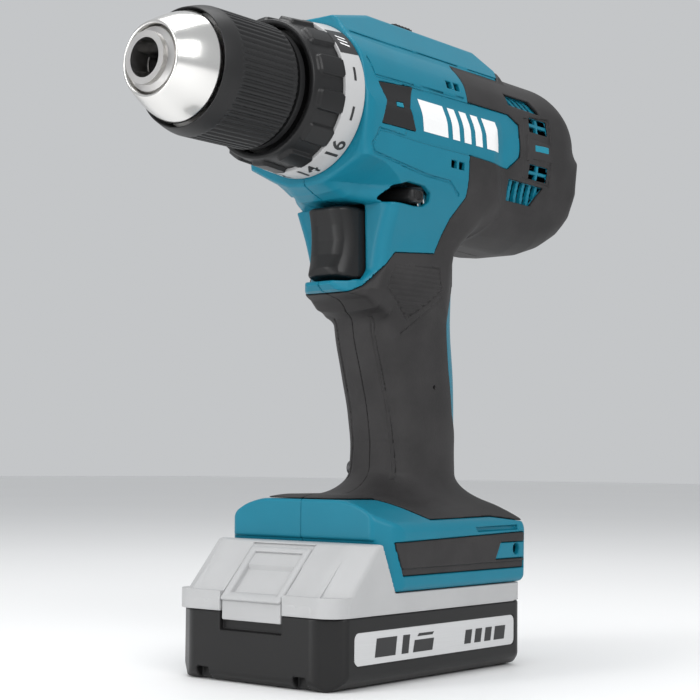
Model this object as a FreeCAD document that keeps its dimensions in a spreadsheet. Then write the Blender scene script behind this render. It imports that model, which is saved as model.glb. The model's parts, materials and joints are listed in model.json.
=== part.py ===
import FreeCAD, Part
import Sketcher
import math
import os
from FreeCAD import Placement, Rotation, Vector

# Cordless drill.  Millimetres.  +X points out of the chuck, +Y to the tool's left, +Z up.
# The origin is on the standing surface under the middle of the whole tool.

os.makedirs("parts", exist_ok=True)
doc = FreeCAD.newDocument("CordlessDrill")

# ------------------------------------------------------------------ driving sizes
SIZES = {
    # spindle line and housing
    "axis_height": 206.5,
    "barrel_radius": 29.0,
    "barrel_rear": -117.0,
    "collar_front": 37.0,
    "barrel_round": 20.0,
    "ridge_top": 36.5,    # above the spindle line
    "ridge_half": 8.0,
    "ridge_foot_half": 16.0,
    "wall": 2.6,
    "skin": 1.2,
    "grip_half": 16.5,
    "neck_half": 19.0,
    "cheek_half": 26.0,
    "lip_half": 14.0,
    "blister_half": 22.0,
    "foot_half": 38.5,
    "foot_bottom": 31.4,
    "screw_shank": 1.4,
    "screw_head": 2.8,
    "boss": 3.4,
    # battery
    "battery_front": 63.0,
    "battery_rear": -50.0,
    "battery_half": 37.5,
    "battery_split": 24.2,
    "battery_deck": 31.0,
    "battery_wall": 2.2,
    "tower_half": 27.0,
    "tower_top": 44.0,
    "tower_rear": -43.0,
    "tower_front": 44.0,
    "rail_depth": 2.5,
    "rail_low": 33.5,
    "rail_high": 37.0,
    "cell_radius": 9.15,
    "cell_length": 65.0,
    "cell_count": 5,
    "cell_pitch": 18.4,
    "cell_margin": 7.5,
    "pillar": 3.0,
    "pillar_place": 4.2,
    "button_half": 14.0,
    "button_rear": 52.5,
    "button_travel": 3.0,
    # motor
    "can_radius": 21.5,
    "can_wall": 1.5,
    "can_rear": -100.0,
    "can_front": -33.0,
    "magnet": 4.2,
    "air_gap": 0.6,
    "shaft_radius": 2.5,
    "fan_rear": -29.0,
    "fan_front": -18.0,
    "fan_radius": 18.5,
    "fan_blades": 9,
    # gear train
    "gear_module": 0.8,
    "sun_one": 12,
    "planet_one": 18,
    "sun_two": 15,
    "planet_two": 15,
    "planet_count": 3,
    "backlash": 0.06,
    "gear_width": 7.0,
    "rim": 1.8,
    "plate": 3.0,
    "planet_pin": 2.0,
    "case_rear": -14.0,
    "case_radius": 24.5,
    "case_wall": 2.0,
    "case_front": 36.0,
    "stage_one": -9.0,
    "stage_two": 4.5,
    "selector_travel": 4.0,
    "spindle_radius": 5.0,
    "bearing_radius": 13.0,
    "bearing_width": 8.0,
    "bearing_rear": 21.0,
    "nose_tube": 14.0,
    "nose_front": 56.0,
    # clutch and torque ring
    "ring_rear_radius": 28.4,
    "ring_mid_radius": 27.5,
    "ring_front_radius": 25.0,
    "ring_bore": 22.6,
    "scale_rear": 37.4,
    "scale_front": 47.0,
    "ring_front": 61.0,
    "clutch_pin": 1.5,
    "clutch_pins": 6,
    "clutch_nut_rear": 50.5,
    "clutch_nut_width": 4.0,
    "clutch_travel": 5.0,
    # chuck
    "chuck_rear": 65.5,
    "sleeve_front": 100.2,
    "sleeve_radius": 22.2,
    "sleeve_bore": 20.0,
    "cone_front": 114.6,
    "cone_rear_radius": 18.7,
    "cone_front_radius": 12.7,
    "nose_end": 117.0,
    "nose_radius": 8.8,
    "bit_bore": 6.4,
    "mouth_radius": 6.6,
    "mouth_depth": 8.0,
    "jaw_angle": 15.0,
    "jaw_radius": 4.0,
    "jaw_axis_at_nose": 2.4,
    "jaw_tip": 104.0,
    "jaw_length": 36.0,
    "jaw_travel": 22.5,
    "jaw_closed_gap": 0.8,
    "chuck_body_radius": 16.7,
    "nut_rear": 84.0,
    "nut_width": 8.0,
    # controls
    "trigger_half": 10.5,
    "trigger_travel": 6.5,
    "lever_drop": 35.0,
    "lever_height": 5.5,
    "lever_half": 26.5,
    "lever_pivot": -22.0,
    "lever_rear": -1.0,
    "lever_front": 7.0,
    # clearances
    "running": 0.05,
    "gap": 0.35,
}
sheet = doc.addObject("Spreadsheet::Sheet", "Sizes")
for row, (name, value) in enumerate(SIZES.items(), start=1):
    sheet.set(f"A{row}", name)
    sheet.set(f"B{row}", str(value))
    sheet.setAlias(f"B{row}", name)
doc.recompute()
nodes = {}


def size(name):
    """One driving size, read from the sheet."""
    return float(sheet.get(name))


def bound(text):
    """An expression with every driving size's name turned into its cell."""
    out, word = "", ""
    for letter in str(text) + " ":
        if letter.isalnum() or letter == "_":
            word += letter
            continue
        out += f"Sizes.{word}" if word in SIZES else word
        out += letter
        word = ""
    return out.strip()


def keep(label, piece):
    """Name a finished piece: its label is its file's name."""
    piece.Label = label
    nodes[label] = piece
    return piece


# ------------------------------------------------------------------ sketch-based builders
def new_body(name):
    body = doc.addObject("PartDesign::Body", name)
    body.setExpression("Placement.Base.z", "Sizes.axis_height")
    return body


def outline(body, name, plane_role, corners):
    """A closed outline whose every corner is dimensioned from the sheet."""
    sketch = body.newObject("Sketcher::SketchObject", name)
    plane = next(item for item in body.Origin.OriginFeatures if item.Role == plane_role)
    sketch.AttachmentSupport = [(plane, "")]
    sketch.MapMode = "FlatFace"
    count = len(corners)
    # a first drawing on a circle, which the dimensions then pull into place
    spots = [Vector(math.cos(-2 * math.pi * k / count), math.sin(-2 * math.pi * k / count), 0)
             for k in range(count)]
    for k in range(count):
        sketch.addGeometry(Part.LineSegment(spots[k], spots[(k + 1) % count]), False)
    for k in range(count):
        sketch.addConstraint(Sketcher.Constraint("Coincident", k, 2, (k + 1) % count, 1))
    for k, corner in enumerate(corners):
        for kind, text in zip(("DistanceX", "DistanceY"), corner):
            index = sketch.addConstraint(Sketcher.Constraint(kind, -1, 1, k, 1, 1.0))
            sketch.setExpression(f"Constraints[{index}]", bound(text))
    return sketch


def turned(name, section):
    """A piece turned about the spindle line from its half section (x, radius)."""
    body = new_body(name)
    sketch = outline(body, name + "_section", "XZ_Plane", section)
    turn = body.newObject("PartDesign::Revolution", name + "_turn")
    turn.Profile = sketch
    turn.ReferenceAxis = (sketch, ["H_Axis"])
    turn.Angle = 360
    return body


def disc(name, rear, front, outer, inner="0"):
    """A turned ring or disc between two stations on the spindle line."""
    return turned(name, [(rear, inner), (front, inner), (front, outer), (rear, outer)])


def padded(name, plane_role, corners, low, high):
    """A flat outline given thickness between two offsets along its plane's normal."""
    body = new_body(name)
    sketch = outline(body, name + "_outline", plane_role, corners)
    sketch.setExpression("AttachmentOffset.Base.z", bound(low))
    pad = body.newObject("PartDesign::Pad", name + "_pad")
    pad.Profile = sketch
    pad.setExpression("Length", bound(f"({high}) - ({low})"))
    return body


def side_plate(name, corners, low, high):
    """An outline in the side view (x, z above the spindle line), given width along Y."""
    return padded(name, "XZ_Plane", corners, f"-1 * ({high})", f"-1 * ({low})")


def box(name, x, y, z):
    """A plain block between two corners; z counts from the standing surface."""
    block = doc.addObject("Part::Box", name)
    for axis, side, span in (("x", "Length", x), ("y", "Width", y), ("z", "Height", z)):
        block.setExpression(f"Placement.Base.{axis}", bound(span[0]))
        block.setExpression(side, bound(f"({span[1]}) - ({span[0]})"))
    return block


def joined(name, pieces):
    fuse = doc.addObject("Part::MultiFuse", name)
    fuse.Shapes = pieces
    return fuse


def cut(name, base, tools):
    """The base less every tool."""
    tool = tools[0] if len(tools) == 1 else joined(name + "_tools", tools)
    result = doc.addObject("Part::Cut", name)
    result.Base = base
    result.Tool = tool
    return result


def made(name, shape):
    """A piece whose shape comes from Part's own functions."""
    feature = doc.addObject("Part::Feature", name)
    feature.Shape = shape
    return feature


def shapes(*pieces):
    doc.recompute()
    return [piece.Shape for piece in pieces]


# ------------------------------------------------------------------ places worked out once
AXIS = Vector(1, 0, 0)
LINE = Vector(0, 0, size("axis_height"))
pitch_one = size("gear_module") * size("sun_one") / 2
pitch_two = size("gear_module") * size("sun_two") / 2
RING_ONE = int(size("sun_one") + 2 * size("planet_one"))
RING_TWO = int(size("sun_two") + 2 * size("planet_two"))


def on_line(x, radius=0.0, angle=0.0):
    """A point at a station, radius and angle about the spindle line (0 is to the left)."""
    return Vector(x, radius * math.cos(angle), radius * math.sin(angle)) + LINE


def about_line(shape, angle):
    turned_copy = shape.copy()
    turned_copy.rotate(LINE, AXIS, math.degrees(angle))
    return turned_copy


def ring_of(shape, count, start=0.0):
    """Equal copies of one shape about the spindle line."""
    return Part.makeCompound([about_line(shape, start + 2 * math.pi * k / count) for k in range(count)])


def rod(radius, start, end):
    return Part.makeCylinder(radius, (end - start).Length, start, end - start)


# ------------------------------------------------------------------ gears
PRESSURE = math.radians(20)
FLANK_STEPS = 4


def involute(angle):
    return math.tan(angle) - angle


def tooth_radii(teeth, low, high):
    """Stations up a flank, from the base circle or above it to the tip."""
    base = size("gear_module") * teeth / 2 * math.cos(PRESSURE)
    start = max(low, base + 0.001)
    return [start + (high - start) * k / (FLANK_STEPS - 1) for k in range(FLANK_STEPS)]


def half_angle(teeth, radius, thinning):
    """Half the angle that a tooth fills at one radius."""
    pitch = size("gear_module") * teeth / 2
    base = pitch * math.cos(PRESSURE)
    at_pitch = math.pi / (2 * teeth) - thinning / pitch
    return at_pitch + involute(PRESSURE) - involute(math.acos(base / radius))


def toothed_face(teeth, low, high, thinning, centre, phase, x):
    """A flat toothed outline across the spindle line, teeth between two radii."""
    points = []
    radii = tooth_radii(teeth, low, high)
    for k in range(teeth):
        middle = phase + 2 * math.pi * k / teeth
        up = [(r, middle - half_angle(teeth, r, thinning)) for r in radii]
        down = [(r, middle + half_angle(teeth, r, thinning)) for r in reversed(radii)]
        root = [(low, up[0][1])] if radii[0] > low + 0.01 else []
        root_end = [(low, down[-1][1])] if root else []
        points += root + up + down + root_end
    corners = [centre + Vector(x, r * math.cos(a), r * math.sin(a)) for r, a in points]
    return Part.Face(Part.makePolygon(corners + corners[:1]))


def outer_gear(teeth, centre, phase, rear, front):
    module = size("gear_module")
    pitch = module * teeth / 2
    face = toothed_face(teeth, pitch - 1.25 * module, pitch + module, size("backlash"), centre, phase, rear)
    return face.extrude(AXIS * (front - rear))


def ring_gear(teeth, planet_teeth, rear, front, outer):
    """An internal gear whose spaces face the teeth of the planet at angle 0."""
    module = size("gear_module")
    pitch = module * teeth / 2
    space = 0.0 if planet_teeth % 2 else math.pi / teeth
    cutter = toothed_face(teeth, pitch - 0.9 * module, pitch + 1.15 * module, -size("backlash"), LINE,
                          space, rear - 1)
    blank = rod(outer, on_line(rear), on_line(front))
    return blank.cut(cutter.extrude(AXIS * (front - rear + 2)))


def planet_phase(angle, sun, planet):
    """How far a planet at this angle is turned to mesh with a sun that has a tooth at angle 0."""
    return angle + math.pi - math.pi / planet + angle * sun / planet


# ------------------------------------------------------------------ motor
can = cut("can_cup", disc("can_block", "can_rear", "can_front", "can_radius"),
          [disc("can_hollow", "can_rear + can_wall", "can_front - can_wall", "can_radius - can_wall"),
           disc("can_bore", "can_rear - 1", "can_front + 1", "shaft_radius + 5")])
keep("motor_can", can)

magnet_ring = disc("magnet_ring", "can_rear + 14", "can_front - 8", "can_radius - can_wall",
                   "can_radius - can_wall - magnet")
magnet_gap = box("magnet_gap", ("can_rear", "can_front"), ("-6", "6"),
                 ("axis_height - 30", "axis_height + 30"))
keep("motor_magnets", cut("magnets", magnet_ring, [magnet_gap]))

CORE_SLOTS = 12
core_radius = size("can_radius") - size("can_wall") - size("magnet") - size("air_gap")
core_block = disc("core_block", "can_rear + 16", "can_front - 10",
                  "can_radius - can_wall - magnet - air_gap", "shaft_radius")
[core_shape] = shapes(core_block)
slot_rear, slot_front = size("can_rear") + 15, size("can_front") - 9
slot = rod(1.6, on_line(slot_rear, core_radius - 3.0), on_line(slot_front, core_radius - 3.0))
mouth = Part.makeBox(slot_front - slot_rear, 4.0, 0.9,
                     on_line(slot_rear, core_radius - 3.0) - Vector(0, 0, 0.45))
keep("armature_core", made("core", core_shape.cut([about_line(piece, 2 * math.pi * k / CORE_SLOTS)
                                                   for piece in (slot, mouth) for k in range(CORE_SLOTS)])))
keep("commutator", disc("bars", "can_rear + 4", "can_rear + 12", "8", "shaft_radius"))
keep("motor_shaft", disc("motor_axle", "can_rear - 4", "stage_one + gear_width", "shaft_radius"))

fan_hub = disc("fan_hub", "fan_rear", "fan_front", "5.5", "shaft_radius")
fan_plate = disc("fan_plate", "fan_rear", "fan_rear + 1.5", "fan_radius", "shaft_radius")
[hub_shape, plate_shape] = shapes(fan_hub, fan_plate)
blade = Part.makeBox(size("fan_front") - size("fan_rear"), size("fan_radius") - 5.2, 1.2,
                     on_line(size("fan_rear"), 5.0) - Vector(0, 0, 0.6))
blades = [about_line(blade, 2 * math.pi * k / size("fan_blades")) for k in range(int(size("fan_blades")))]
keep("cooling_fan", made("fan", hub_shape.fuse([plate_shape] + blades)))

brush_in, brush_out = 8.0 + 0.1, 17.0
brush_x = (size("can_rear") + 5, size("can_rear") + 11)
brushes, holders = [], []
for side in (-1, 1):
    brush = Part.makeBox(brush_x[1] - brush_x[0], brush_out - brush_in, 5.0,
                         on_line(brush_x[0], brush_in) - Vector(0, 0, 2.5))
    sleeve = Part.makeBox(8.0, 8.0, 7.0, on_line(brush_x[0] - 1, 10.0) - Vector(0, 0, 3.5))
    angle = 0 if side > 0 else math.pi
    brushes.append(about_line(brush, angle))
    holders.append(about_line(sleeve.cut(brush), angle))
keep("brush_gear", made("brushes_in_holders", Part.makeCompound(brushes + holders)))

# ------------------------------------------------------------------ gear train
gear_centre = pitch_one + size("gear_module") * size("planet_one") / 2
gear_centre_two = pitch_two + size("gear_module") * size("planet_two") / 2
stages = {
    "one": (size("stage_one"), size("stage_one") + size("gear_width"), "sun_one", "planet_one", gear_centre),
    "two": (size("stage_two"), size("stage_two") + size("gear_width"), "sun_two", "planet_two",
            gear_centre_two),
}
SIDE_PLAY = 0.5
keep("pinion", made("sun_gear", outer_gear(int(size("sun_one")), LINE, 0, size("stage_one"),
                                           size("stage_one") + size("gear_width"))
                    .cut(rod(size("shaft_radius"), on_line(-20), on_line(10)))))
for stage, (rear, front, sun, planet, reach) in stages.items():
    for k in range(int(size("planet_count"))):
        angle = 2 * math.pi * k / size("planet_count")
        phase = planet_phase(angle, size(sun), size(planet))
        gear = outer_gear(int(size(planet)), on_line(0, reach, angle), phase, rear, front)
        hole = rod(size("planet_pin") + size("running") / 2, on_line(rear - 1, reach, angle),
                   on_line(front + 1, reach, angle))
        keep(f"planet_{stage}_{k + 1}", made(f"planet_{stage}_{k + 1}_gear", gear.cut(hole)))


def carrier(rear, thick, radius, reach, pin_length, hub_bore):
    """A disc with planet pins that point back along the spindle line."""
    plate = rod(radius, on_line(rear), on_line(rear + thick))
    pins = ring_of(rod(size("planet_pin"), on_line(rear - pin_length, reach), on_line(rear, reach)),
                   int(size("planet_count")))
    solid = plate.fuse(pins.Solids)
    return solid.cut(rod(hub_bore, on_line(rear - 30), on_line(rear + 30))) if hub_bore else solid


carrier_radius = gear_centre + size("planet_pin") + 2.5
carrier_rear = size("stage_one") + size("gear_width") + SIDE_PLAY
sun_two_front = size("stage_two") + size("gear_width") + SIDE_PLAY / 2
carrier_one = carrier(carrier_rear, size("plate"), carrier_radius, gear_centre, size("gear_width"), 0)
sun_two_shape = outer_gear(int(size("sun_two")), LINE, 0, carrier_rear + size("plate"), sun_two_front)
keep("first_carrier", made("carrier_one", carrier_one.fuse(sun_two_shape)))

output_rear = size("stage_two") + size("gear_width") + 2 * SIDE_PLAY
keep("output_carrier", made("carrier_two", carrier(output_rear, size("plate"), carrier_radius,
                                                   gear_centre_two, size("gear_width"),
                                                   size("spindle_radius"))))

ring_outer = size("gear_module") * RING_ONE / 2 + 1.25 * size("gear_module") + size("rim")
keep("fixed_ring_gear", made("ring_one", ring_gear(RING_ONE, int(size("planet_one")), size("stage_one") - 1,
                                                   carrier_rear - 0.2, ring_outer)))
ring_two_rear, ring_two_front = carrier_rear + size("plate") + 1.0, output_rear - 0.2
ring_two_outer = size("gear_module") * RING_TWO / 2 + 1.25 * size("gear_module") + size("rim")
groove_x = ((ring_two_rear + ring_two_front) / 2 - 1.0, (ring_two_rear + ring_two_front) / 2 + 1.0)
groove = rod(ring_two_outer + 1, on_line(groove_x[0] - 0.25), on_line(groove_x[1] + 0.25)).cut(
    rod(ring_two_outer - 0.8, on_line(groove_x[0] - 1), on_line(groove_x[1] + 1)))
keep("sliding_ring_gear", made("ring_two", ring_gear(RING_TWO, int(size("planet_two")), ring_two_rear,
                                                     ring_two_front, ring_two_outer).cut(groove)))

# gear case, bearing and spindle
CLUTCH_CIRCLE = 19.6
SCREW_CIRCLE = 23.4
case_inner = "case_radius - case_wall"
front_wall = "bearing_rear - 2.5"
[case_shape, plate_shape] = shapes(turned("case_turn", [
    ("case_rear + 3", case_inner), (front_wall, case_inner), (front_wall, "spindle_radius + 3"),
    ("bearing_rear", "spindle_radius + 3"), ("bearing_rear", "bearing_radius"),
    ("bearing_rear + bearing_width", "bearing_radius"),
    ("bearing_rear + bearing_width", "spindle_radius + 3"),
    ("nose_front - 6", "spindle_radius + 3"), ("nose_front - 6", "spindle_radius + 4"),
    ("nose_front", "spindle_radius + 4"), ("nose_front", "nose_tube"), ("case_front", "nose_tube"),
    ("case_front", "case_radius"), ("case_rear + 3", "case_radius")]),
    disc("motor_mount", "case_rear", "case_rear + 3", "case_radius", "6.5"))
slot_block = Part.makeBox(groove_x[1] - groove_x[0] + size("selector_travel") + 1.0, 10.0, 3.6,
                          on_line(groove_x[0] - size("selector_travel") - 0.5, ring_two_outer - 2)
                          - Vector(0, 0, 1.8))
fork_slots = [about_line(slot_block, angle) for angle in (0, math.pi)]
pin_way = rod(size("clutch_pin") + size("running"), on_line(size("stage_two"), CLUTCH_CIRCLE),
              on_line(size("case_front") + 1, CLUTCH_CIRCLE))
pin_ways = ring_of(pin_way, int(size("clutch_pins")), math.pi / 6)
case_screw = rod(0.9, on_line(size("case_rear"), SCREW_CIRCLE), on_line(size("case_rear") + 9, SCREW_CIRCLE))
case_screw = case_screw.fuse(
    rod(1.6, on_line(size("case_rear") - 1.6, SCREW_CIRCLE), on_line(size("case_rear"), SCREW_CIRCLE)))
case_screws = ring_of(case_screw, 4, math.pi / 4)
keep("gear_case", made("case", case_shape.cut(fork_slots + pin_ways.Solids + case_screws.Solids)))
keep("motor_plate", made("mount", plate_shape.cut(case_screws.Solids)))

BALLS = 9
ball_track = (size("bearing_radius") + size("spindle_radius")) / 2
ball_radius = 2.3
bearing_middle = size("bearing_rear") + size("bearing_width") / 2
outer_race, inner_race = shapes(
    disc("outer_race", "bearing_rear", "bearing_rear + bearing_width", "bearing_radius",
         "(bearing_radius + spindle_radius) / 2 + 1.4"),
    disc("inner_race", "bearing_rear", "bearing_rear + bearing_width",
         "(bearing_radius + spindle_radius) / 2 - 1.4", "spindle_radius + running"))
track = Part.makeTorus(ball_track, ball_radius + size("running"), on_line(bearing_middle), AXIS)
balls = ring_of(Part.makeSphere(ball_radius, on_line(bearing_middle, ball_track)), BALLS)
keep("spindle_bearing", made("ball_bearing", Part.makeCompound(
    [outer_race.cut(track), inner_race.cut(track)] + balls.Solids)))
nose_bush, motor_bush = shapes(
    disc("nose_bush", "nose_front - 6", "nose_front", "spindle_radius + 4", "spindle_radius + running"),
    disc("motor_bush", "can_rear - 5", "can_rear", "shaft_radius + 5", "shaft_radius + running"))
keep("plain_bushes", made("bush_pair", Part.makeCompound([nose_bush, motor_bush])))
keep("spindle", turned("spindle_turn", [
    (str(output_rear), "0"), ("chuck_rear + 17", "0"), ("chuck_rear + 17", "spindle_radius"),
    (str(output_rear), "spindle_radius")]))

# clutch
clutch_pin = rod(size("clutch_pin"), on_line(ring_two_front + size("gap"), CLUTCH_CIRCLE),
                 on_line(size("case_front") + 2, CLUTCH_CIRCLE))
[washer] = shapes(disc("spring_washer", "case_front + 2", "case_front + 3.5", "21.8", "nose_tube + gap"))
keep("clutch_plate", made("pinned_plate", washer.fuse(
    ring_of(clutch_pin, int(size("clutch_pins")), math.pi / 6).Solids)))


def coil(rear, front, radius, wire, turns):
    """A round-wire spring along the spindle line."""
    pitch = (front - rear - 2 * wire) / turns
    path = Part.makeHelix(pitch, front - rear - 2 * wire, radius)
    path.Placement = Placement(on_line(rear + wire), Rotation(Vector(0, 1, 0), 90))
    start = path.Edges[0].valueAt(path.Edges[0].FirstParameter)
    ahead = path.Edges[0].tangentAt(path.Edges[0].FirstParameter)
    profile = Part.Wire(Part.makeCircle(wire, start, ahead))
    return Part.Wire(path).makePipeShell([profile], True, True)


keep("clutch_spring", made("spring_coil", coil(size("case_front") + 3.5, size("clutch_nut_rear"),
                                               18.0, 1.1, 3)))
keep("clutch_nut", made("clutch_nut_ring", shapes(disc(
    "nut_ring", "clutch_nut_rear", "clutch_nut_rear + clutch_nut_width", "ring_bore - gap",
    "nose_tube + gap"))[0]))

# torque ring
keep("scale_ring", turned("scale", [
    ("scale_rear", "ring_bore"), ("scale_front", "ring_bore"), ("scale_front", "ring_mid_radius"),
    ("scale_rear", "ring_rear_radius")]))
PADS = 13
grip_turn = turned("torque_turn", [
    ("scale_front", "ring_bore"), ("ring_front - 2.5", "ring_bore"), ("ring_front - 2.5", "nose_tube + 2"),
    ("ring_front", "nose_tube + 2"), ("ring_front", "ring_front_radius"), ("scale_front", "ring_mid_radius")])
[grip_shape] = shapes(grip_turn)
dent = Part.makeBox(size("ring_front") - size("scale_front"), 3.0, 5.4,
                    on_line(size("scale_front") + 2.5, size("ring_front_radius") + 0.2) - Vector(0, 0, 2.7))
keep("torque_grip", made("torque_knob", grip_shape.cut(
    [about_line(dent, 2 * math.pi * k / PADS) for k in range(PADS)])))

# ------------------------------------------------------------------ chuck
slant = math.radians(size("jaw_angle"))
jaw_direction = Vector(math.cos(slant), -math.sin(slant), 0)


def jaw_axis_radius(x):
    return size("jaw_axis_at_nose") + math.tan(slant) * (size("nose_end") - x)


def jaw_point(x):
    return on_line(x, jaw_axis_radius(x))


jaw_rear = size("jaw_tip") - size("jaw_length")
body_turn = turned("chuck_turn", [
    ("chuck_rear - 1", "spindle_radius"), ("chuck_rear + 21", "spindle_radius"),
    ("chuck_rear + 21", "bit_bore"), ("nose_end - mouth_depth", "bit_bore"),
    ("nose_end - mouth_depth", "mouth_radius"), ("nose_end", "mouth_radius"), ("nose_end", "nose_radius"),
    ("cone_front + 0.3", "nose_radius"), ("cone_front - 0.6", "cone_front_radius - 2"),
    ("sleeve_front", "chuck_body_radius"), ("nut_rear + nut_width + gap", "chuck_body_radius"),
    ("nut_rear + nut_width + gap", "chuck_body_radius - 3.6"), ("nut_rear - gap", "chuck_body_radius - 3.6"),
    ("nut_rear - gap", "chuck_body_radius + 1"), ("chuck_rear - 1", "chuck_body_radius + 1")])
[chuck_shape] = shapes(body_turn)
bore = rod(size("jaw_radius") + size("running"), jaw_point(jaw_rear - 8), jaw_point(size("nose_end") + 12))
keep("chuck_body", made("chuck_steel", chuck_shape.cut(
    [about_line(bore, 2 * math.pi * k / 3) for k in range(3)])))
keep("chuck_rear_ring", disc("rear_cap", "ring_front + 1", "chuck_rear - 1", "21.6", "spindle_radius"))
keep("chuck_screw", turned("left_hand_screw", [
    ("chuck_rear + 17", "0"), ("chuck_rear + 20.5", "0"), ("chuck_rear + 20.5", "4.4"),
    ("chuck_rear + 17", "4.4")]))

closed_tip = size("jaw_tip") + size("jaw_travel") * math.cos(slant)
jaw_rod = rod(size("jaw_radius"), jaw_point(closed_tip - size("jaw_length")), jaw_point(closed_tip))
nose_slice = Part.makeBox(60, 60, 60, on_line(closed_tip, 0) - Vector(0, 30, 30))
apex = on_line(closed_tip - 80, size("jaw_closed_gap"))
reach = 40.0
wedge = Part.Face(Part.makePolygon([
    apex, apex + Vector(0, reach, reach * math.tan(math.radians(60))),
    apex + Vector(0, reach, -reach * math.tan(math.radians(60))), apex])).extrude(AXIS * 100)
closed_jaw = jaw_rod.cut(nose_slice).common(wedge)
closed_jaw.translate(jaw_direction * -size("jaw_travel"))
for k in range(3):
    keep(f"jaw_{k + 1}", made(f"jaw_{k + 1}_steel", about_line(closed_jaw, 2 * math.pi * k / 3)))

nut_front = size("nut_rear") + size("nut_width")
nut_clear = size("jaw_radius") / math.cos(slant) + size("gap")
keep("chuck_nut", turned("split_nut", [
    ("nut_rear", str(jaw_axis_radius(size("nut_rear")) + nut_clear)),
    ("nut_rear + nut_width", str(jaw_axis_radius(nut_front) + nut_clear)),
    ("nut_rear + nut_width", "sleeve_bore"), ("nut_rear", "sleeve_bore")]))
RIBS = 60
sleeve_turn = turned("sleeve_turn", [
    ("chuck_rear", "sleeve_bore"), ("sleeve_front", "sleeve_bore"), ("sleeve_front", "sleeve_radius - 1"),
    ("sleeve_front - 1.5", "sleeve_radius"), ("chuck_rear + 1", "sleeve_radius"),
    ("chuck_rear", "sleeve_radius - 1")])
[sleeve_shape] = shapes(sleeve_turn)
valley = rod(0.5, on_line(size("chuck_rear") + 3, size("sleeve_radius") + 0.1),
             on_line(size("sleeve_front") - 6, size("sleeve_radius") + 0.1))
keep("chuck_sleeve_grip", made("sleeve_knurled", sleeve_shape.cut(
    [about_line(valley, 2 * math.pi * k / RIBS) for k in range(RIBS)])))
keep("nose_cone", turned("cone_turn", [
    ("sleeve_front", "chuck_body_radius + gap"), ("sleeve_front", "cone_rear_radius + 1.3"),
    ("sleeve_front + 0.6", "cone_rear_radius"), ("cone_front", "cone_front_radius"),
    ("cone_front", "cone_front_radius - 2 + 2 * gap")]))


# ------------------------------------------------------------------ side outlines with round corners
def side_face(corners, y=0.0):
    """A face in the side view; each corner is (x, z, corner radius)."""
    count = len(corners)
    edges, ends = [], []
    for k in range(count):
        x, z, radius = corners[k]
        here = Vector(x, y, z)
        before = Vector(corners[k - 1][0], y, corners[k - 1][1])
        after = Vector(corners[(k + 1) % count][0], y, corners[(k + 1) % count][1])
        back, ahead = (before - here).normalize(), (after - here).normalize()
        half = back.getAngle(ahead) / 2
        if radius == 0:
            ends.append((here, here, None))
            continue
        reach_along = radius / math.tan(half)
        middle = here + (back + ahead).normalize() * (radius / math.sin(half) - radius)
        ends.append((here + back * reach_along, here + ahead * reach_along, middle))
    for k in range(count):
        first, last, middle = ends[k]
        if middle is not None:
            edges.append(Part.Arc(first, middle, last).toShape())
        following = ends[(k + 1) % count][0]
        if (following - last).Length > 1e-6:
            edges.append(Part.LineSegment(last, following).toShape())
    return Part.Face(Part.Wire(edges))


def lifted(height, corners):
    """Side-view corners moved up to stand on, or hang from, a height."""
    return [(x, height + z, radius) for x, z, radius in corners]


def slab(corners, half_width, edge_radius, inset=0.0):
    """A side outline given width, its long edges rounded; inset moves every face inwards."""
    face = side_face(corners)
    if inset:
        face = face.makeOffset2D(-inset, 2, False, False, True)
    half = half_width - inset
    face.translate(Vector(0, -half, 0))
    solid = face.extrude(Vector(0, 2 * half, 0))
    if edge_radius == 0:
        return solid
    radius = max(edge_radius - inset, 0.5)
    rims = [edge for edge in solid.Edges
            if abs(edge.BoundBox.YLength) < 1e-6 and abs(abs(edge.BoundBox.YMin) - half) < 1e-6]
    return solid.makeFillet(radius, rims)


# ------------------------------------------------------------------ housing
AXIS_Z = size("axis_height")
RIDGE_Z = AXIS_Z + size("ridge_top")
FOOT_Z = size("foot_bottom")
LEVER_LOW = AXIS_Z - size("lever_drop")
LEVER_HIGH = LEVER_LOW + size("lever_height")
rear = size("barrel_rear")
front = size("collar_front")


def barrel(inset):
    """The round motor barrel, its closed rear end rounded off, its front end open."""
    radius = size("barrel_radius") - inset
    solid = rod(radius, on_line(rear + inset), on_line(front))
    rim = [edge for edge in solid.Edges
           if abs(edge.BoundBox.XMin - (rear + inset)) < 1e-6 and edge.BoundBox.XLength < 1e-6]
    return solid.makeFillet(size("barrel_round") - inset, rim)


RIDGE = [(-66.0, AXIS_Z, 0), (-58.0, RIDGE_Z, 0), (11.0, RIDGE_Z, 0),
         (front, RIDGE_Z - 7.0, 0), (front, AXIS_Z, 0)]


def ridge(inset):
    """The raised spine above the barrel: narrow on top, wider where it meets the round."""
    foot, half, top = size("ridge_foot_half") - inset, size("ridge_half") - inset / 2, RIDGE_Z
    section = [Vector(rear, -foot, AXIS_Z), Vector(rear, foot, AXIS_Z), Vector(rear, half, top),
               Vector(rear, -half, top)]
    taper = Part.Face(Part.makePolygon(section + section[:1])).extrude(Vector(front - rear, 0, 0))
    return slab(RIDGE, foot, 0.0, inset).common(taper)


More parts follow.
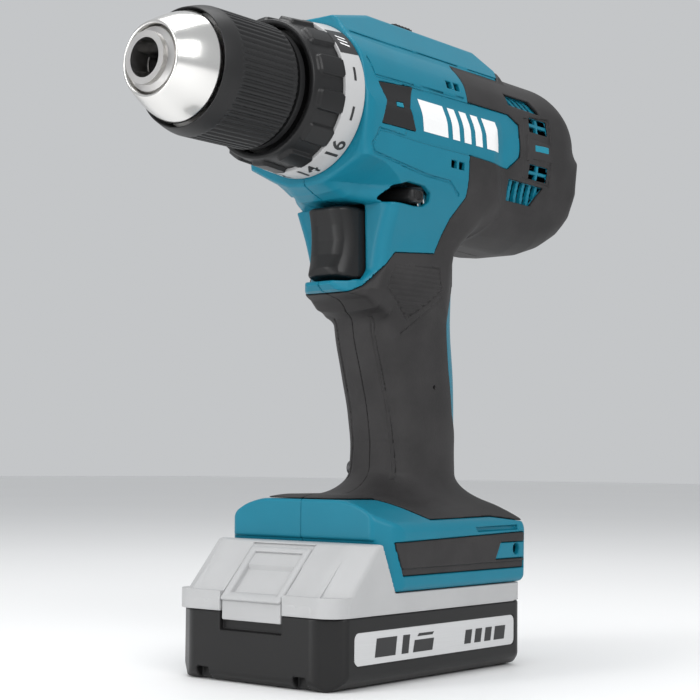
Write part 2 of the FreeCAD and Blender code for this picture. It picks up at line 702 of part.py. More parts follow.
# the motor's belly, the neck behind the trigger, the grip and the foot, seen from the side
# each corner is (x, height, corner radius); the first four stand under the spindle line
BELLY = lifted(AXIS_Z, [(-60, -43.5, 6), (-88, -44.0, 10), (-100, -39.5, 8), (-109, -30.5, 8),
                        (-114.5, -14.5, 8), (-114.5, 0, 0), (-40, 0, 0), (-40, -34.5, 0)])
CHEEK = lifted(AXIS_Z, [(-52.0, -24.5, 8), (-46.0, 0, 0), (front, 0, 0), (front, -22.5, 3),
                        (30.0, -31.0, 6), (-40.0, -31.0, 6)])
NECK = lifted(AXIS_Z, [(-66.0, -48.5, 0), (-60.0, -21.5, 0), (20.0, -21.5, 0), (15.0, -68.5, 0),
                       (-42.0, -68.5, 0)])
LIP = lifted(AXIS_Z, [(-6.0, -60.5, 0), (-6.0, -76.5, 0), (8.0, -73.5, 0), (27.0, -67.5, 0),
                      (26.0, -64.0, 0), (14.0, -60.5, 0)])
GRIP = (lifted(AXIS_Z, [(-47.0, -46.5, 6), (-44.5, -66.5, 20)])
        + lifted(FOOT_Z, [(-45.0, 68.7, 30), (-45.5, 26.7, 0), (-1.0, 26.7, 0), (-2.8, 50.7, 20),
                          (0.0, 68.7, 30), (6.0, 88.7, 30)])
        + lifted(AXIS_Z, [(10.0, -64.5, 3), (4.0, -46.5, 3)]))
FOOT = lifted(FOOT_Z, [(-51.0, 0, 0), (28.5, 0, 0), (36.0, 16.9, 0), (55.5, 17.5, 0), (51.0, 26.7, 0),
                       (40.0, 31.2, 12), (0.0, 33.2, 20), (-36.0, 30.2, 12), (-52.5, 20.7, 0)])


def envelope(inset):
    """The whole outer shape of the closed housing, every face moved inwards by the inset."""
    cheek_inset = [(min(x, front), z, r) for x, z, r in CHEEK]
    blocks = [ridge(inset), slab(BELLY, size("blister_half"), 9, inset),
              slab(cheek_inset, size("cheek_half"), 6, inset), slab(NECK, size("neck_half"), 7, inset),
              slab(LIP, size("lip_half"), 1.5, inset),
              slab(GRIP, size("grip_half"), 12, inset), slab(FOOT, size("foot_half"), 5, inset)]
    return barrel(inset).fuse(blocks)


def side_box(x, z, y=(-60.0, 60.0)):
    return Part.makeBox(x[1] - x[0], y[1] - y[0], z[1] - z[0], Vector(x[0], y[0], z[0]))


def leaning_slot(x, z, width, lean):
    """A slanted vent slot through one side, as seen from that side."""
    points = [Vector(x, 0, z[0]), Vector(x + width, 0, z[0]),
              Vector(x + width + lean, 0, z[1]), Vector(x + lean, 0, z[1])]
    return Part.Face(Part.makePolygon(points + points[:1])).extrude(Vector(0, 60, 0))


trigger_low, trigger_high = AXIS_Z - 63.0, AXIS_Z - 38.5
trigger_room = side_box((-24.0, 60.0), (trigger_low - 2.0, trigger_high + 1.5),
                        (-size("trigger_half") - size("gap"), size("trigger_half") + size("gap")))
lever_slot = side_box((-5.0, 17.0), (LEVER_LOW - size("gap"), LEVER_HIGH + size("gap")))
knob_x = (-20.0, -8.0)
selector_slot = side_box((knob_x[0] - size("selector_travel") - 1.0, knob_x[1] + 1.0),
                         (AXIS_Z + 27, AXIS_Z + 60), (-6.5, 6.5))
vents = [leaning_slot(x, (AXIS_Z + 11.0, AXIS_Z + 15.0), 2.6, 1.5) for x in (-78.0, -72.5, -67.0, -61.5)]
vents += [leaning_slot(x, (AXIS_Z - 26.0, AXIS_Z - 19.0), 2.6, -1.5) for x in (-76.0, -70.5, -65.0, -59.5)]
vents += [leaning_slot(x, (AXIS_Z + z, AXIS_Z + z + 2.5), 8.5, 0) for x, z in ((-20.5, 10.5), (-20.0, -19.7))]
vents += [vent.mirror(Vector(0, 0, 0), Vector(0, 1, 0)) for vent in vents]

# the battery's way in: open below and to the front, with a rail along each side
tower = size("tower_half") + size("gap")
rail_room = side_box((size("tower_rear") - 1.0, 80.0), (20.0, size("tower_top") + size("gap")),
                     (-tower, tower))
rail_y = size("tower_half") - size("rail_depth") + size("gap")
rails = [side_box((size("tower_rear") - 1.0, 27.0),
                  (size("rail_low") + size("gap"), size("rail_high") - size("gap")), span)
         for span in ((rail_y, tower), (-tower, -rail_y))]
front_room = side_box((size("tower_front") - 14.0, 80.0), (20.0, FOOT_Z + 16.8),
                      (-size("foot_half") - 1, size("foot_half") + 1))

outer = envelope(0.0)
under_skin = envelope(size("skin"))
inner = envelope(size("wall"))
strip_z = (FOOT_Z + 5.3, FOOT_Z + 18.6)
skin_zones = [
    side_box((rear - 5, -26.0), (AXIS_Z - 56.5, AXIS_Z + 17.5)),
    side_box((-39.0, 12.0), (FOOT_Z + 34.6, AXIS_Z - 70.5)),
    side_box((-49.0, 29.0), strip_z, (size("tower_half") + 4, 60.0)),
    side_box((-49.0, 29.0), strip_z, (-60.0, -size("tower_half") - 4)),
]
skin_layer = outer.cut(under_skin)
hook_holes = [(-44.2, FOOT_Z + 12.5)]
HOOK_THREAD = 2.0
hook_sleeves = [Part.makeCylinder(HOOK_THREAD + 2.4, 8.9, Vector(x, side * (size("foot_half") - 10.9), z),
                                  Vector(0, side, 0)) for x, z in hook_holes for side in (1, -1)]
hook_bores = [Part.makeCylinder(HOOK_THREAD, 20, Vector(x, side * (size("foot_half") - 9.4), z),
                                Vector(0, side, 0)) for x, z in hook_holes for side in (1, -1)]

# closing screws: a boss in each shell, driven from the right
# each place is (x, z, how far the boss reaches from the parting plane)
SCREW_PLACES = (lifted(AXIS_Z, [(-36.0, -56.5, 12.0), (-60.0, -38.0, 12.0), (24.0, -29.0, 12.0),
                                (-50.0, 30.8, 5.5), (24.0, 28.0, 6.0)])
                + lifted(FOOT_Z, [(-36.0, 70.6, 12.0), (-9.0, 42.6, 12.0), (-44.0, 24.6, 12.0),
                                  (30.0, 27.1, 12.0)]))
LEFT, RIGHT = Vector(0, 1, 0), Vector(0, -1, 0)
bosses, screws, shanks, head_ways = [], [], [], []
for x, z, depth in SCREW_PLACES:
    seat_point = Vector(x, -depth, z)
    bosses.append(Part.makeCylinder(size("boss"), 2 * depth, seat_point, LEFT))
    shanks.append(Part.makeCylinder(size("screw_shank"), 1.6 * depth, seat_point, LEFT))
    head = Part.makeCylinder(size("screw_head"), 2.2, seat_point, RIGHT)
    screws.append(shanks[-1].fuse(head))
    head_ways.append(Part.makeCylinder(size("screw_head") + size("gap"), 60.0, seat_point, RIGHT))
keep("screws", made("screw_set", Part.makeCompound(screws + case_screws.Solids)))

# ------------------------------------------------------------------ leads that the housing holds
def lead(points, radius):
    """A round wire along straight runs joined by tangent arcs."""
    edges, last = [], points[0]
    for before, here, after in zip(points, points[1:], points[2:]):
        back, ahead = (before - here).normalize(), (after - here).normalize()
        half = back.getAngle(ahead) / 2
        run = 0.45 * min((before - here).Length, (after - here).Length)
        bend = run * math.tan(half)
        first, following = here + back * run, here + ahead * run
        middle = here + (back + ahead).normalize() * (bend / math.sin(half) - bend)
        edges += [Part.LineSegment(last, first).toShape(), Part.Arc(first, middle, following).toShape()]
        last = following
    edges.append(Part.LineSegment(last, points[-1]).toShape())
    path = Part.Wire(edges)
    start = Part.Wire(Part.makeCircle(radius, points[0], points[1] - points[0]))
    return path.makePipeShell([start], True, True)


LEAD_RADIUS = 1.2
LEAD_SIDE = 4.0


def lead_pairs(radius):
    """Two leads from the battery terminals to the switch, and two from the switch to the brushes."""
    pairs = []
    for y in (-LEAD_SIDE, LEAD_SIDE):
        pairs.append(lead([Vector(-30, y, FOOT_Z + 21.6), Vector(-29, y, FOOT_Z + 48.6),
                           Vector(-24, y, AXIS_Z - 96.5), Vector(-17, y, AXIS_Z - 69.0)], radius))
        pairs.append(lead([Vector(-30, y, AXIS_Z - 48.5), Vector(-50, 1.6 * y, AXIS_Z - 31.5),
                           Vector(-80, 1.6 * y, AXIS_Z - 28.5), Vector(-102.5, 2.2 * y, AXIS_Z - 22.5),
                           Vector(-105.5, 2.6 * y, AXIS_Z - 7.5)], radius))
    return pairs


leads = lead_pairs(LEAD_RADIUS)
keep("inner_leads", made("lead_set", Part.makeCompound(leads)))

# ribs that seat the motor can, the gear case and the rear bush
seat_z = (AXIS_Z - 56.5, AXIS_Z + 33.5)
seats = [side_box((x, x + 2.0), seat_z) for x in (size("can_rear") + 4, size("can_front") - 8)]
seats = [plate.common(inner).cut(rod(size("can_radius"), on_line(-130), on_line(0))) for plate in seats]
case_seats = [side_box((x, x + 2.0), seat_z).common(inner)
              .cut(rod(size("case_radius"), on_line(-130), on_line(60))) for x in (-8.0, 30.0)]
bush_seat = side_box((size("can_rear") - 5, size("can_rear") - 3), seat_z).common(inner).cut(
    rod(size("shaft_radius") + 5, on_line(-130), on_line(0)))

selector_room = side_box((-34.0, 14.0), (AXIS_Z + 25.5, AXIS_Z + 33.0), (-7.0, 7.0))
lever_room = side_box((size("lever_pivot") - 6.0, 0.0), (LEVER_LOW - size("gap"),
                                                        LEVER_HIGH + size("gap")), (-8.0, 8.0))
openings = [trigger_room, lever_slot, lever_room, selector_slot, selector_room, rail_room, front_room]
openings += vents + head_ways + hook_bores + lead_pairs(LEAD_RADIUS + size("gap"))
shell = outer.cut(inner).fuse([piece for piece in seats + case_seats + [bush_seat]])
shell = shell.fuse([boss.common(outer) for boss in bosses] + hook_sleeves)
shell = shell.cut([skin_layer.common(zone) for zone in skin_zones])
shell = shell.cut(openings).fuse([rail.common(outer) for rail in rails]).cut(shanks)

skins = Part.makeCompound([skin_layer.common(zone) for zone in skin_zones])
skins = skins.cut(vents + head_ways + hook_bores + [lever_slot, trigger_room, rail_room])
left_space = side_box((rear - 20, 90.0), (0.0, 260.0), (0.0, 80.0))
right_space = side_box((rear - 20, 90.0), (0.0, 260.0), (-80.0, 0.0))
for side, space in (("left", left_space), ("right", right_space)):
    keep(f"housing_{side}", made(f"shell_{side}", shell.common(space)))
    keep(f"grip_cover_{side}", made(f"cover_{side}", skins.common(space)))

# ------------------------------------------------------------------ controls and electrics
trigger_rear = 4.0
TRIGGER = [(27.0, trigger_low, 1), (25.5, (trigger_low + trigger_high) / 2, 15), (27.0, trigger_high, 1.5),
           (trigger_rear, trigger_high, 1), (trigger_rear, trigger_low, 1)]
keep("trigger", made("trigger_block", slab(TRIGGER, size("trigger_half"), 3)))
switch_front = trigger_rear - size("trigger_travel") - 4.0
keep("trigger_spring", made("trigger_coil", coil(switch_front, trigger_rear, 2.6, 0.4, 5)
                            .translated(Vector(0, 0, trigger_low + 7.5 - AXIS_Z))))
switch_low, switch_top = trigger_low - 0.5, trigger_high - 1.0
switch = side_box((-30.0, switch_front), (switch_low, switch_top), (-9.5, 9.5))
switch_foot = side_box((-24.0, -10.0), (switch_low - 5.5, switch_low), (-6.0, 6.0))
keep("switch_body", made("switch_case", switch.fuse(switch_foot).cut(leads)))

lever_z = (LEVER_LOW, LEVER_HIGH)
pivot = Vector(size("lever_pivot"), 0, 0)
lever_bar = side_box((size("lever_rear"), size("lever_front")), lever_z,
                     (-size("lever_half"), size("lever_half")))
lever_stem = side_box((size("lever_pivot"), size("lever_rear")), lever_z, (-4.0, 4.0))
lever_eye = Part.makeCylinder(5.0, lever_z[1] - lever_z[0], pivot + Vector(0, 0, lever_z[0]))
lever_hole = Part.makeCylinder(2.0 + size("running"), 20, pivot + Vector(0, 0, lever_z[0] - 5))
keep("reverse_lever", made("lever", lever_bar.fuse([lever_stem, lever_eye]).cut(lever_hole)))
keep("lever_pin", made("lever_pivot_pin", Part.makeCylinder(
    2.0, lever_z[1] - switch_top, pivot + Vector(0, 0, switch_top))))

knob_top = RIDGE_Z + 1.6
fork_x = (groove_x[0] + 0.1, groove_x[1] - 0.1)
knob = side_box(knob_x, (AXIS_Z + 28.4, knob_top), (-6.0, 6.0))
knob_flange = side_box((knob_x[0] - 3.5, fork_x[1]), (AXIS_Z + 27.0, AXIS_Z + 28.4), (-5.8, 5.8))
keep("speed_knob", made("knob", knob.fuse(knob_flange)))
fork_inner = size("case_radius") + 0.4
arch = rod(fork_inner + 1.0, on_line(fork_x[0]), on_line(fork_x[1])).cut(
    [rod(fork_inner, on_line(fork_x[0] - 1), on_line(fork_x[1] + 1)),
     side_box((-20, 40), (AXIS_Z - 40, AXIS_Z - 1.5))])
fork_pins = [about_line(Part.makeBox(fork_x[1] - fork_x[0], fork_inner - ring_two_outer + 1.2, 3.0,
                                     on_line(fork_x[0], ring_two_outer - 0.5) - Vector(0, 0, 1.5)), angle)
             for angle in (0, math.pi)]
fork_tab = side_box(fork_x, (AXIS_Z + fork_inner + 0.5, AXIS_Z + 27.0), (-3.0, 3.0))
keep("shift_fork", made("fork", arch.fuse(fork_pins + [fork_tab])))


block = side_box((-42.0, -24.0), (size("tower_top") + 2.0, 53.0), (-16.0, 16.0))
blade_x, blade_half = (-40.0, -29.0), 0.5
BLADES = (-11.0, 0.0, 11.0)
blade_set = [side_box(blade_x, (36.0, size("tower_top") + 2.0), (y - blade_half, y + blade_half))
             for y in BLADES]
keep("terminal_block", made("terminals", Part.makeCompound([block.cut(blade_set + leads)] + blade_set)))

# ------------------------------------------------------------------ battery
case_half = size("battery_half")
case_back, case_ahead = size("battery_rear"), size("battery_front")
split, deck = size("battery_split"), size("battery_deck")
side_wall = size("battery_wall")


def battery_block(inset, low, high, corner=8.0):
    """The battery's plan outline between two heights, with rounded upright corners."""
    solid = side_box((case_back + inset, case_ahead - inset), (low, high),
                     (-case_half + inset, case_half - inset))
    uprights = [edge for edge in solid.Edges if edge.BoundBox.ZLength > (high - low) - 0.01]
    return solid.makeFillet(max(corner - inset, 1.0), uprights)


button_room = side_box((size("button_rear") - size("gap"), 80.0), (17.5, 60.0),
                       (-size("button_half") - size("gap"), size("button_half") + size("gap")))
lower = battery_block(0, 0, split)
floor_edges = [edge for edge in lower.Edges if edge.BoundBox.ZMax < 0.01]
lower = lower.makeChamfer(3.0, floor_edges)
label_room = [side_box((-44.0, 52.5), (7.8, 19.3), span)
              for span in ((case_half - 0.8, case_half), (-case_half, 0.8 - case_half))]
button_wall = side_box((size("button_rear") - side_wall - 0.4, 80.0), (0.0, 60.0), (-17.0, 17.0))
pillar_places = [(x, y) for x in (case_back + size("pillar_place"), case_ahead - size("pillar_place"))
                 for y in (-case_half + size("pillar_place"), case_half - size("pillar_place"))]
pillars = [Part.makeCylinder(size("pillar"), deck - 1.0, Vector(x, y, 1.0)) for x, y in pillar_places]
pillar_screws = [Part.makeCylinder(1.1, 14.0, Vector(x, y, 10.5))
                 .fuse(Part.makeCylinder(2.0, 1.8, Vector(x, y, 8.7))) for x, y in pillar_places]
screw_ways = [Part.makeCylinder(2.0, 10.0, Vector(x, y, -1.0)) for x, y in pillar_places]
lower_hollow = battery_block(side_wall, side_wall, split + 5).cut([button_wall] + pillars)
keep("battery_case_lower", made("case_lower", lower.cut(
    [lower_hollow, button_room] + label_room + pillar_screws + screw_ways)))
keep("battery_labels", made("labels", Part.makeCompound(
    [side_box((-43.8, 52.3), (8.0, 19.1), span)
     for span in ((case_half - 0.8, case_half), (-case_half, 0.8 - case_half))])))
upper = battery_block(0, split, deck)
slope = side_face([(28.5, deck - 2, 0), (case_ahead - 8, deck - 2, 0), (case_ahead, 29.0, 0), (44.5, 47.6, 1),
                   (37.0, 47.6, 0), (30.5, deck + 0.0, 0)])
slope.translate(Vector(0, -case_half + 8, 0))
tower_block = side_box((size("tower_rear"), size("tower_front")), (deck - 2, size("tower_top")),
                       (-size("tower_half"), size("tower_half")))
grooves = [side_box((size("tower_rear") - 1, 27.5), (size("rail_low"), size("rail_high")), span)
           for span in ((size("tower_half") - size("rail_depth"), 40.0),
                        (-40.0, -size("tower_half") + size("rail_depth")))]
blade_ways = [side_box((size("tower_rear") - 1, blade_x[1] + 1.0), (34.0, 60.0), (y - 1.2, y + 1.2))
              for y in BLADES]
upper = upper.fuse([slope.extrude(Vector(0, 2 * case_half - 16, 0)), tower_block])
upper_hollow = battery_block(side_wall, split - 1, deck - side_wall).cut([button_wall] + pillars)
tower_hollow = side_box((size("tower_rear") + side_wall, size("tower_front") - side_wall),
                        (split, size("tower_top") - side_wall),
                        (-size("tower_half") + size("rail_depth") + 1.6,
                         size("tower_half") - size("rail_depth") - 1.6)).cut(button_wall)
keep("battery_case_upper", made("case_upper", upper.cut(
    [upper_hollow, tower_hollow, button_room] + grooves + blade_ways + pillar_screws)))
contacts = []
for y in BLADES:
    for side in (-1, 1):
        near, far = y + side * (blade_half + 0.02), y + side * (blade_half + 0.5)
        contacts.append(side_box((-40.0, -30.0), (34.5, 41.0), (min(near, far), max(near, far))))
board = side_box((-38.0, 40.0), (deck - side_wall - 3.4, deck - side_wall - 1.8), (-20.0, 20.0))
keep("battery_board", made("board_and_contacts", Part.makeCompound([board] + contacts)))
cell_z = side_wall + 0.4 + size("cell_radius")
first_cell = case_back + size("cell_margin") + size("cell_radius")
keep("battery_cells", made("cell_set", Part.makeCompound([
    Part.makeCylinder(size("cell_radius"), size("cell_length"),
                      Vector(first_cell + k * size("cell_pitch"), -size("cell_length") / 2, cell_z),
                      Vector(0, 1, 0)) for k in range(int(size("cell_count")))])))
keep("battery_case_screws", made("case_screw_set", Part.makeCompound(pillar_screws)))
button_side = side_face([(size("button_rear"), 21.2, 0), (62.6, 21.2, 1), (62.6, 27.0, 1), (60.0, 28.5, 1),
                         (54.0, 36.0, 4), (size("button_rear"), 40.5, 0)])
button_side.translate(Vector(0, -size("button_half"), 0))
keep("battery_button", made("release_button", button_side.extrude(Vector(0, 2 * size("button_half"), 0))))

# ------------------------------------------------------------------ checks and export
doc.recompute()
for item in doc.Objects:
    if "Invalid" in item.State or "Error" in item.State:
        raise RuntimeError(f"{item.Name} failed: {item.State}")
for label, piece in nodes.items():
    shape = piece.Shape
    if shape.isNull() or not shape.isValid() or not shape.Solids:
        raise RuntimeError(f"{label} has no valid solid")
    shape.exportStep(f"parts/{label}.step")
    print(f"{label:24} solids {len(shape.Solids):3}  volume {shape.Volume:10.1f}")
print(len(nodes), "nodes")
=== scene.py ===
import bpy
import json
import math
import numpy as np
import openvdb
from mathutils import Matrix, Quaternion, Vector


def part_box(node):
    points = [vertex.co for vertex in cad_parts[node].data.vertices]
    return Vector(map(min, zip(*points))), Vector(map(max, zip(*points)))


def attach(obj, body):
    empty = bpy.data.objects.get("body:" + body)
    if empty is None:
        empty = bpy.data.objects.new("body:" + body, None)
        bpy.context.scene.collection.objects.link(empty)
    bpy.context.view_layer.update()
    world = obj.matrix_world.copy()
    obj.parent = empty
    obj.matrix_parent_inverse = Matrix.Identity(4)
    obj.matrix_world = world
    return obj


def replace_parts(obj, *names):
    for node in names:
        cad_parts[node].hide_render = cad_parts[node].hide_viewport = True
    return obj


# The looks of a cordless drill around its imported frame.  Lengths are in millimetres while a shape
# is worked out, and in metres once it is a mesh.  +X is out of the chuck, +Y left, +Z up.

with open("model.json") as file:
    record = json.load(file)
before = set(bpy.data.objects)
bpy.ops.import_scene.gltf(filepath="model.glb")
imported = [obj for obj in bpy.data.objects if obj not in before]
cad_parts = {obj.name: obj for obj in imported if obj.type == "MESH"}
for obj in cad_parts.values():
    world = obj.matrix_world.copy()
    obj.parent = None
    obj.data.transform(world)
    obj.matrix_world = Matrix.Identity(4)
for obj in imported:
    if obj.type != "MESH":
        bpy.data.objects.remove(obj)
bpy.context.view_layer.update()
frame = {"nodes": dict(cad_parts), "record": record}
MM = 0.001
FINE = 0.55

# ------------------------------------------------------------------ places read from the frame


def low(node):
    """A node's least corner, in millimetres."""
    return [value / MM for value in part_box(node)[0]]


def high(node):
    """A node's greatest corner, in millimetres."""
    return [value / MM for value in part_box(node)[1]]


AXIS_Z = (low("spindle")[2] + high("spindle")[2]) / 2
CONE_X = high("nose_cone")[0]
SLEEVE_X = high("chuck_sleeve_grip")[0]
SLEEVE_REAR = low("chuck_sleeve_grip")[0]
SLEEVE_R = (high("chuck_sleeve_grip")[1] - low("chuck_sleeve_grip")[1]) / 2
RING_X = high("torque_grip")[0]
SCALE_X = high("scale_ring")[0]
SCALE_REAR = low("scale_ring")[0]
REAR_X = low("grip_cover_left")[0]
FOOT_HALF = high("housing_left")[1]
RIDGE_Z = high("housing_left")[2]
BATTERY_FRONT = high("battery_case_lower")[0]
BATTERY_REAR = low("battery_case_lower")[0]
BATTERY_HALF = high("battery_case_lower")[1]
BATTERY_SPLIT = high("battery_case_lower")[2]
FOOT_LOW = low("housing_left")[2]


# ------------------------------------------------------------------ distance fields
def corner(a, b, radius):
    """The part inside both fields, its edge rounded."""
    rounding = np.hypot(np.maximum(a + radius, 0), np.maximum(b + radius, 0))
    return np.minimum(np.maximum(a, b), -radius) + rounding


def blend_in(a, b, radius):
    """The two fields joined, the inside corner filled with a round."""
    filling = np.hypot(np.maximum(radius - a, 0), np.maximum(radius - b, 0))
    return np.maximum(np.minimum(a, b), radius) - filling


def take(a, b, radius):
    """The first field less the second, its edge rounded."""
    return corner(a, -b, radius)


def outline(u, v, corners):
    """Signed distance to a closed outline, negative inside."""
    nearest = None
    inside = None
    for (u0, v0), (u1, v1) in zip(corners, corners[1:] + corners[:1]):
        du, dv = u1 - u0, v1 - v0
        along = np.clip(((u - u0) * du + (v - v0) * dv) / (du * du + dv * dv), 0, 1)
        away = (u - u0 - along * du) ** 2 + (v - v0 - along * dv) ** 2
        crossing = (v0 > v) != (v1 > v)
        if dv:
            crossing = crossing & (u < u0 + (v - v0) * du / dv)
        else:
            crossing = crossing & False
        nearest = away if nearest is None else np.minimum(nearest, away)
        inside = crossing if inside is None else inside ^ crossing
    return np.sqrt(nearest) * np.where(inside, -1, 1)


def line(u, v, points, half_width):
    """Distance to a drawn line of straight stretches, negative within its width."""
    nearest = None
    for (u0, v0), (u1, v1) in zip(points, points[1:]):
        du, dv = u1 - u0, v1 - v0
        along = np.clip(((u - u0) * du + (v - v0) * dv) / (du * du + dv * dv), 0, 1)
        away = np.hypot(u - u0 - along * du, v - v0 - along * dv)
        nearest = away if nearest is None else np.minimum(nearest, away)
    return nearest - half_width


def slab(value, first, last):
    """Negative between two places."""
    return np.maximum(first - value, value - last)


def block(x, y, z, spans, radius=1.0):
    """A block with rounded edges, from its spans along X, Y and Z."""
    gaps = []
    for value, (first, last) in zip((x, y, z), spans):
        gaps.append(np.abs(value - (first + last) / 2) - ((last - first) / 2 - radius))
    outside = np.sqrt(sum(np.maximum(gap, 0) ** 2 for gap in gaps))
    return outside + np.minimum(np.maximum(np.maximum(gaps[0], gaps[1]), gaps[2]), 0) - radius


def smooth_steps(value, stations):
    """A smooth curve through (station, amount) pairs."""
    places = [place for place, _ in stations]
    amounts = [amount for _, amount in stations]
    wide = np.interp(value - 3, places, amounts) + np.interp(value + 3, places, amounts)
    return (wide + 2 * np.interp(value, places, amounts)) / 4


# ------------------------------------------------------------------ meshes
def new_piece(name, points, faces, body, material, smooth=True, normals=None):
    """A finished mesh object, in metres, riding on its body."""
    mesh = bpy.data.meshes.new(name)
    points = np.asarray(points, dtype=np.float64) * MM
    if isinstance(faces, np.ndarray):
        mesh.vertices.add(len(points))
        mesh.vertices.foreach_set("co", points.ravel())
        count, sides = faces.shape
        mesh.loops.add(count * sides)
        mesh.loops.foreach_set("vertex_index", faces.astype(np.int32).ravel())
        mesh.polygons.add(count)
        mesh.polygons.foreach_set("loop_start", np.arange(0, count * sides, sides, dtype=np.int32))
        mesh.update(calc_edges=True)
    else:
        mesh.from_pydata(points.tolist(), [], faces)
    mesh.validate()
    mesh.polygons.foreach_set("use_smooth", [smooth] * len(mesh.polygons))
    if normals is not None and len(normals) == len(mesh.vertices):
        mesh.normals_split_custom_set_from_vertices(normals.tolist())
    piece = bpy.data.objects.new(name, mesh)
    bpy.context.scene.collection.objects.link(piece)
    piece.data.materials.append(material)
    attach(piece, body)
    return piece


def slopes(field, points, values, step):
    """Outward direction of a field at points, from one-sided steps."""
    x, y, z = points.T
    return np.stack([field(x + step, y, z) - values, field(x, y + step, z) - values,
                     field(x, y, z + step) - values], 1) / step


def carve(field, spans, voxel):
    """Points, faces and normals of a field's surface: meshed on a grid, then pulled onto the field."""
    margin = 2 * voxel
    axes = [np.arange(first - margin, last + margin + voxel, voxel) for first, last in spans]
    x, y, z = axes[0][:, None, None], axes[1][None, :, None], axes[2][None, None, :]
    values = np.broadcast_to(field(x, y, z), [len(axis) for axis in axes]).astype(np.float32)
    band = 3 * voxel
    grid = openvdb.FloatGrid(band)
    grid.copyFromArray(np.ascontiguousarray(np.clip(values, -band, band)))
    spots, quads = grid.convertToQuads(isovalue=0.0)
    spots = spots.astype(np.float64) * voxel + np.array([axis[0] for axis in axes])
    for _ in range(2):
        here = field(*spots.T)
        slope = slopes(field, spots, here, 0.04)
        move = -slope * (here / np.maximum((slope ** 2).sum(1), 0.2))[:, None]
        length = np.maximum(np.linalg.norm(move, axis=1), 1e-9)
        spots += move * np.minimum(1, 0.5 * voxel / length)[:, None]
    slope = slopes(field, spots, field(*spots.T), 0.1)
    normals = slope / np.maximum(np.linalg.norm(slope, axis=1), 1e-9)[:, None]
    a, b, c = (spots[quads[:, k]] for k in range(3))
    facing = (np.cross(b - a, c - a) * normals[quads[:, 0]]).sum(1)
    if np.median(facing) < 0:
        quads = quads[:, ::-1]
    return spots, quads, normals


def mirrored(surface):
    """The same surface on the tool's other side."""
    spots, quads, normals = surface
    return spots * [1, -1, 1], quads[:, ::-1], normals * [1, -1, 1]


def place_surface(name, surface, body, material):
    """A carved surface as a finished piece."""
    spots, quads, normals = surface
    return new_piece(name, spots, quads, body, material, normals=normals)


def carved(name, field, spans, body, material, voxel=None):
    """A piece made straight from its field."""
    return place_surface(name, carve(field, spans, voxel or FINE), body, material)


def turned(name, section, body, material, steps=256, relief=None):
    """A closed ring about the spindle line from its half section; relief moves points outwards."""
    angles = np.linspace(0, 2 * math.pi, steps, endpoint=False)
    stations = np.array([x for x, _ in section])[:, None]
    radii = np.array([r for _, r in section])[:, None] * np.ones_like(angles)[None, :]
    if relief is not None:
        radii = radii + relief(stations, radii, angles[None, :])
    xs = np.broadcast_to(stations, radii.shape)
    points = np.stack([xs, radii * np.cos(angles), AXIS_Z + radii * np.sin(angles)], 2).reshape(-1, 3)
    rows = len(section)
    row, col = np.meshgrid(np.arange(rows), np.arange(steps), indexing="ij")
    after, beside = (row + 1) % rows, (col + 1) % steps
    faces = np.stack([row * steps + col, after * steps + col,
                      after * steps + beside, row * steps + beside], 2)
    return new_piece(name, points, faces.reshape(-1, 4), body, material)


def rounded_section(corners, count=4):
    """A half section whose every corner (x, r, rounding) is drawn as a short arc of points."""
    points = []
    total = len(corners)
    for k, (x, r, rounding) in enumerate(corners):
        here = np.array([x, r], float)
        if rounding == 0:
            points.append(tuple(here))
            continue
        before = np.array(corners[k - 1][:2], float) - here
        after = np.array(corners[(k + 1) % total][:2], float) - here
        first = here + before / np.linalg.norm(before) * rounding
        last = here + after / np.linalg.norm(after) * rounding
        for t in np.linspace(0, 1, count):
            points.append(tuple((1 - t) ** 2 * first + 2 * t * (1 - t) * here + t ** 2 * last))
    return points


def stretch(section, first, last, step):
    """The same section with more stations between two of its points, so that relief has room."""
    out = []
    for (x0, r0), (x1, r1) in zip(section, section[1:] + section[:1]):
        out.append((x0, r0))
        within = min(x0, x1) >= first - 0.01 and max(x0, x1) <= last + 0.01
        if within and abs(x1 - x0) > step:
            parts = int(abs(x1 - x0) / step)
            out += [(x0 + (x1 - x0) * k / parts, r0 + (r1 - r0) * k / parts) for k in range(1, parts)]
    return out


# ------------------------------------------------------------------ shader maths
class Value:
    """A shader socket that takes part in Python arithmetic by adding Math nodes."""

    def __init__(self, tree, socket):
        self.tree, self.socket = tree, socket

    def combined(self, operation, first, second=None, third=None):
        node = self.tree.nodes.new("ShaderNodeMath")
        node.operation = operation
        for place, value in zip(node.inputs, (first, second, third)):
            if isinstance(value, Value):
                self.tree.links.new(value.socket, place)
            elif value is not None:
                place.default_value = value
        return Value(self.tree, node.outputs[0])

    def __add__(self, other):
        return self.combined("ADD", self, other)

    def __radd__(self, other):
        return self.combined("ADD", other, self)

    def __sub__(self, other):
        return self.combined("SUBTRACT", self, other)

    def __rsub__(self, other):
        return self.combined("SUBTRACT", other, self)

    def __mul__(self, other):
        return self.combined("MULTIPLY", self, other)

    def __rmul__(self, other):
        return self.combined("MULTIPLY", other, self)

    def __truediv__(self, other):
        return self.combined("DIVIDE", self, other)

    def above(self, edge, soft):
        """0 below an edge, 1 above it, with a soft step."""
        scaled = self.combined("MULTIPLY_ADD", self - edge, 1 / soft, 0.5)
        return self.combined("MAXIMUM", self.combined("MINIMUM", scaled, 1.0), 0.0)


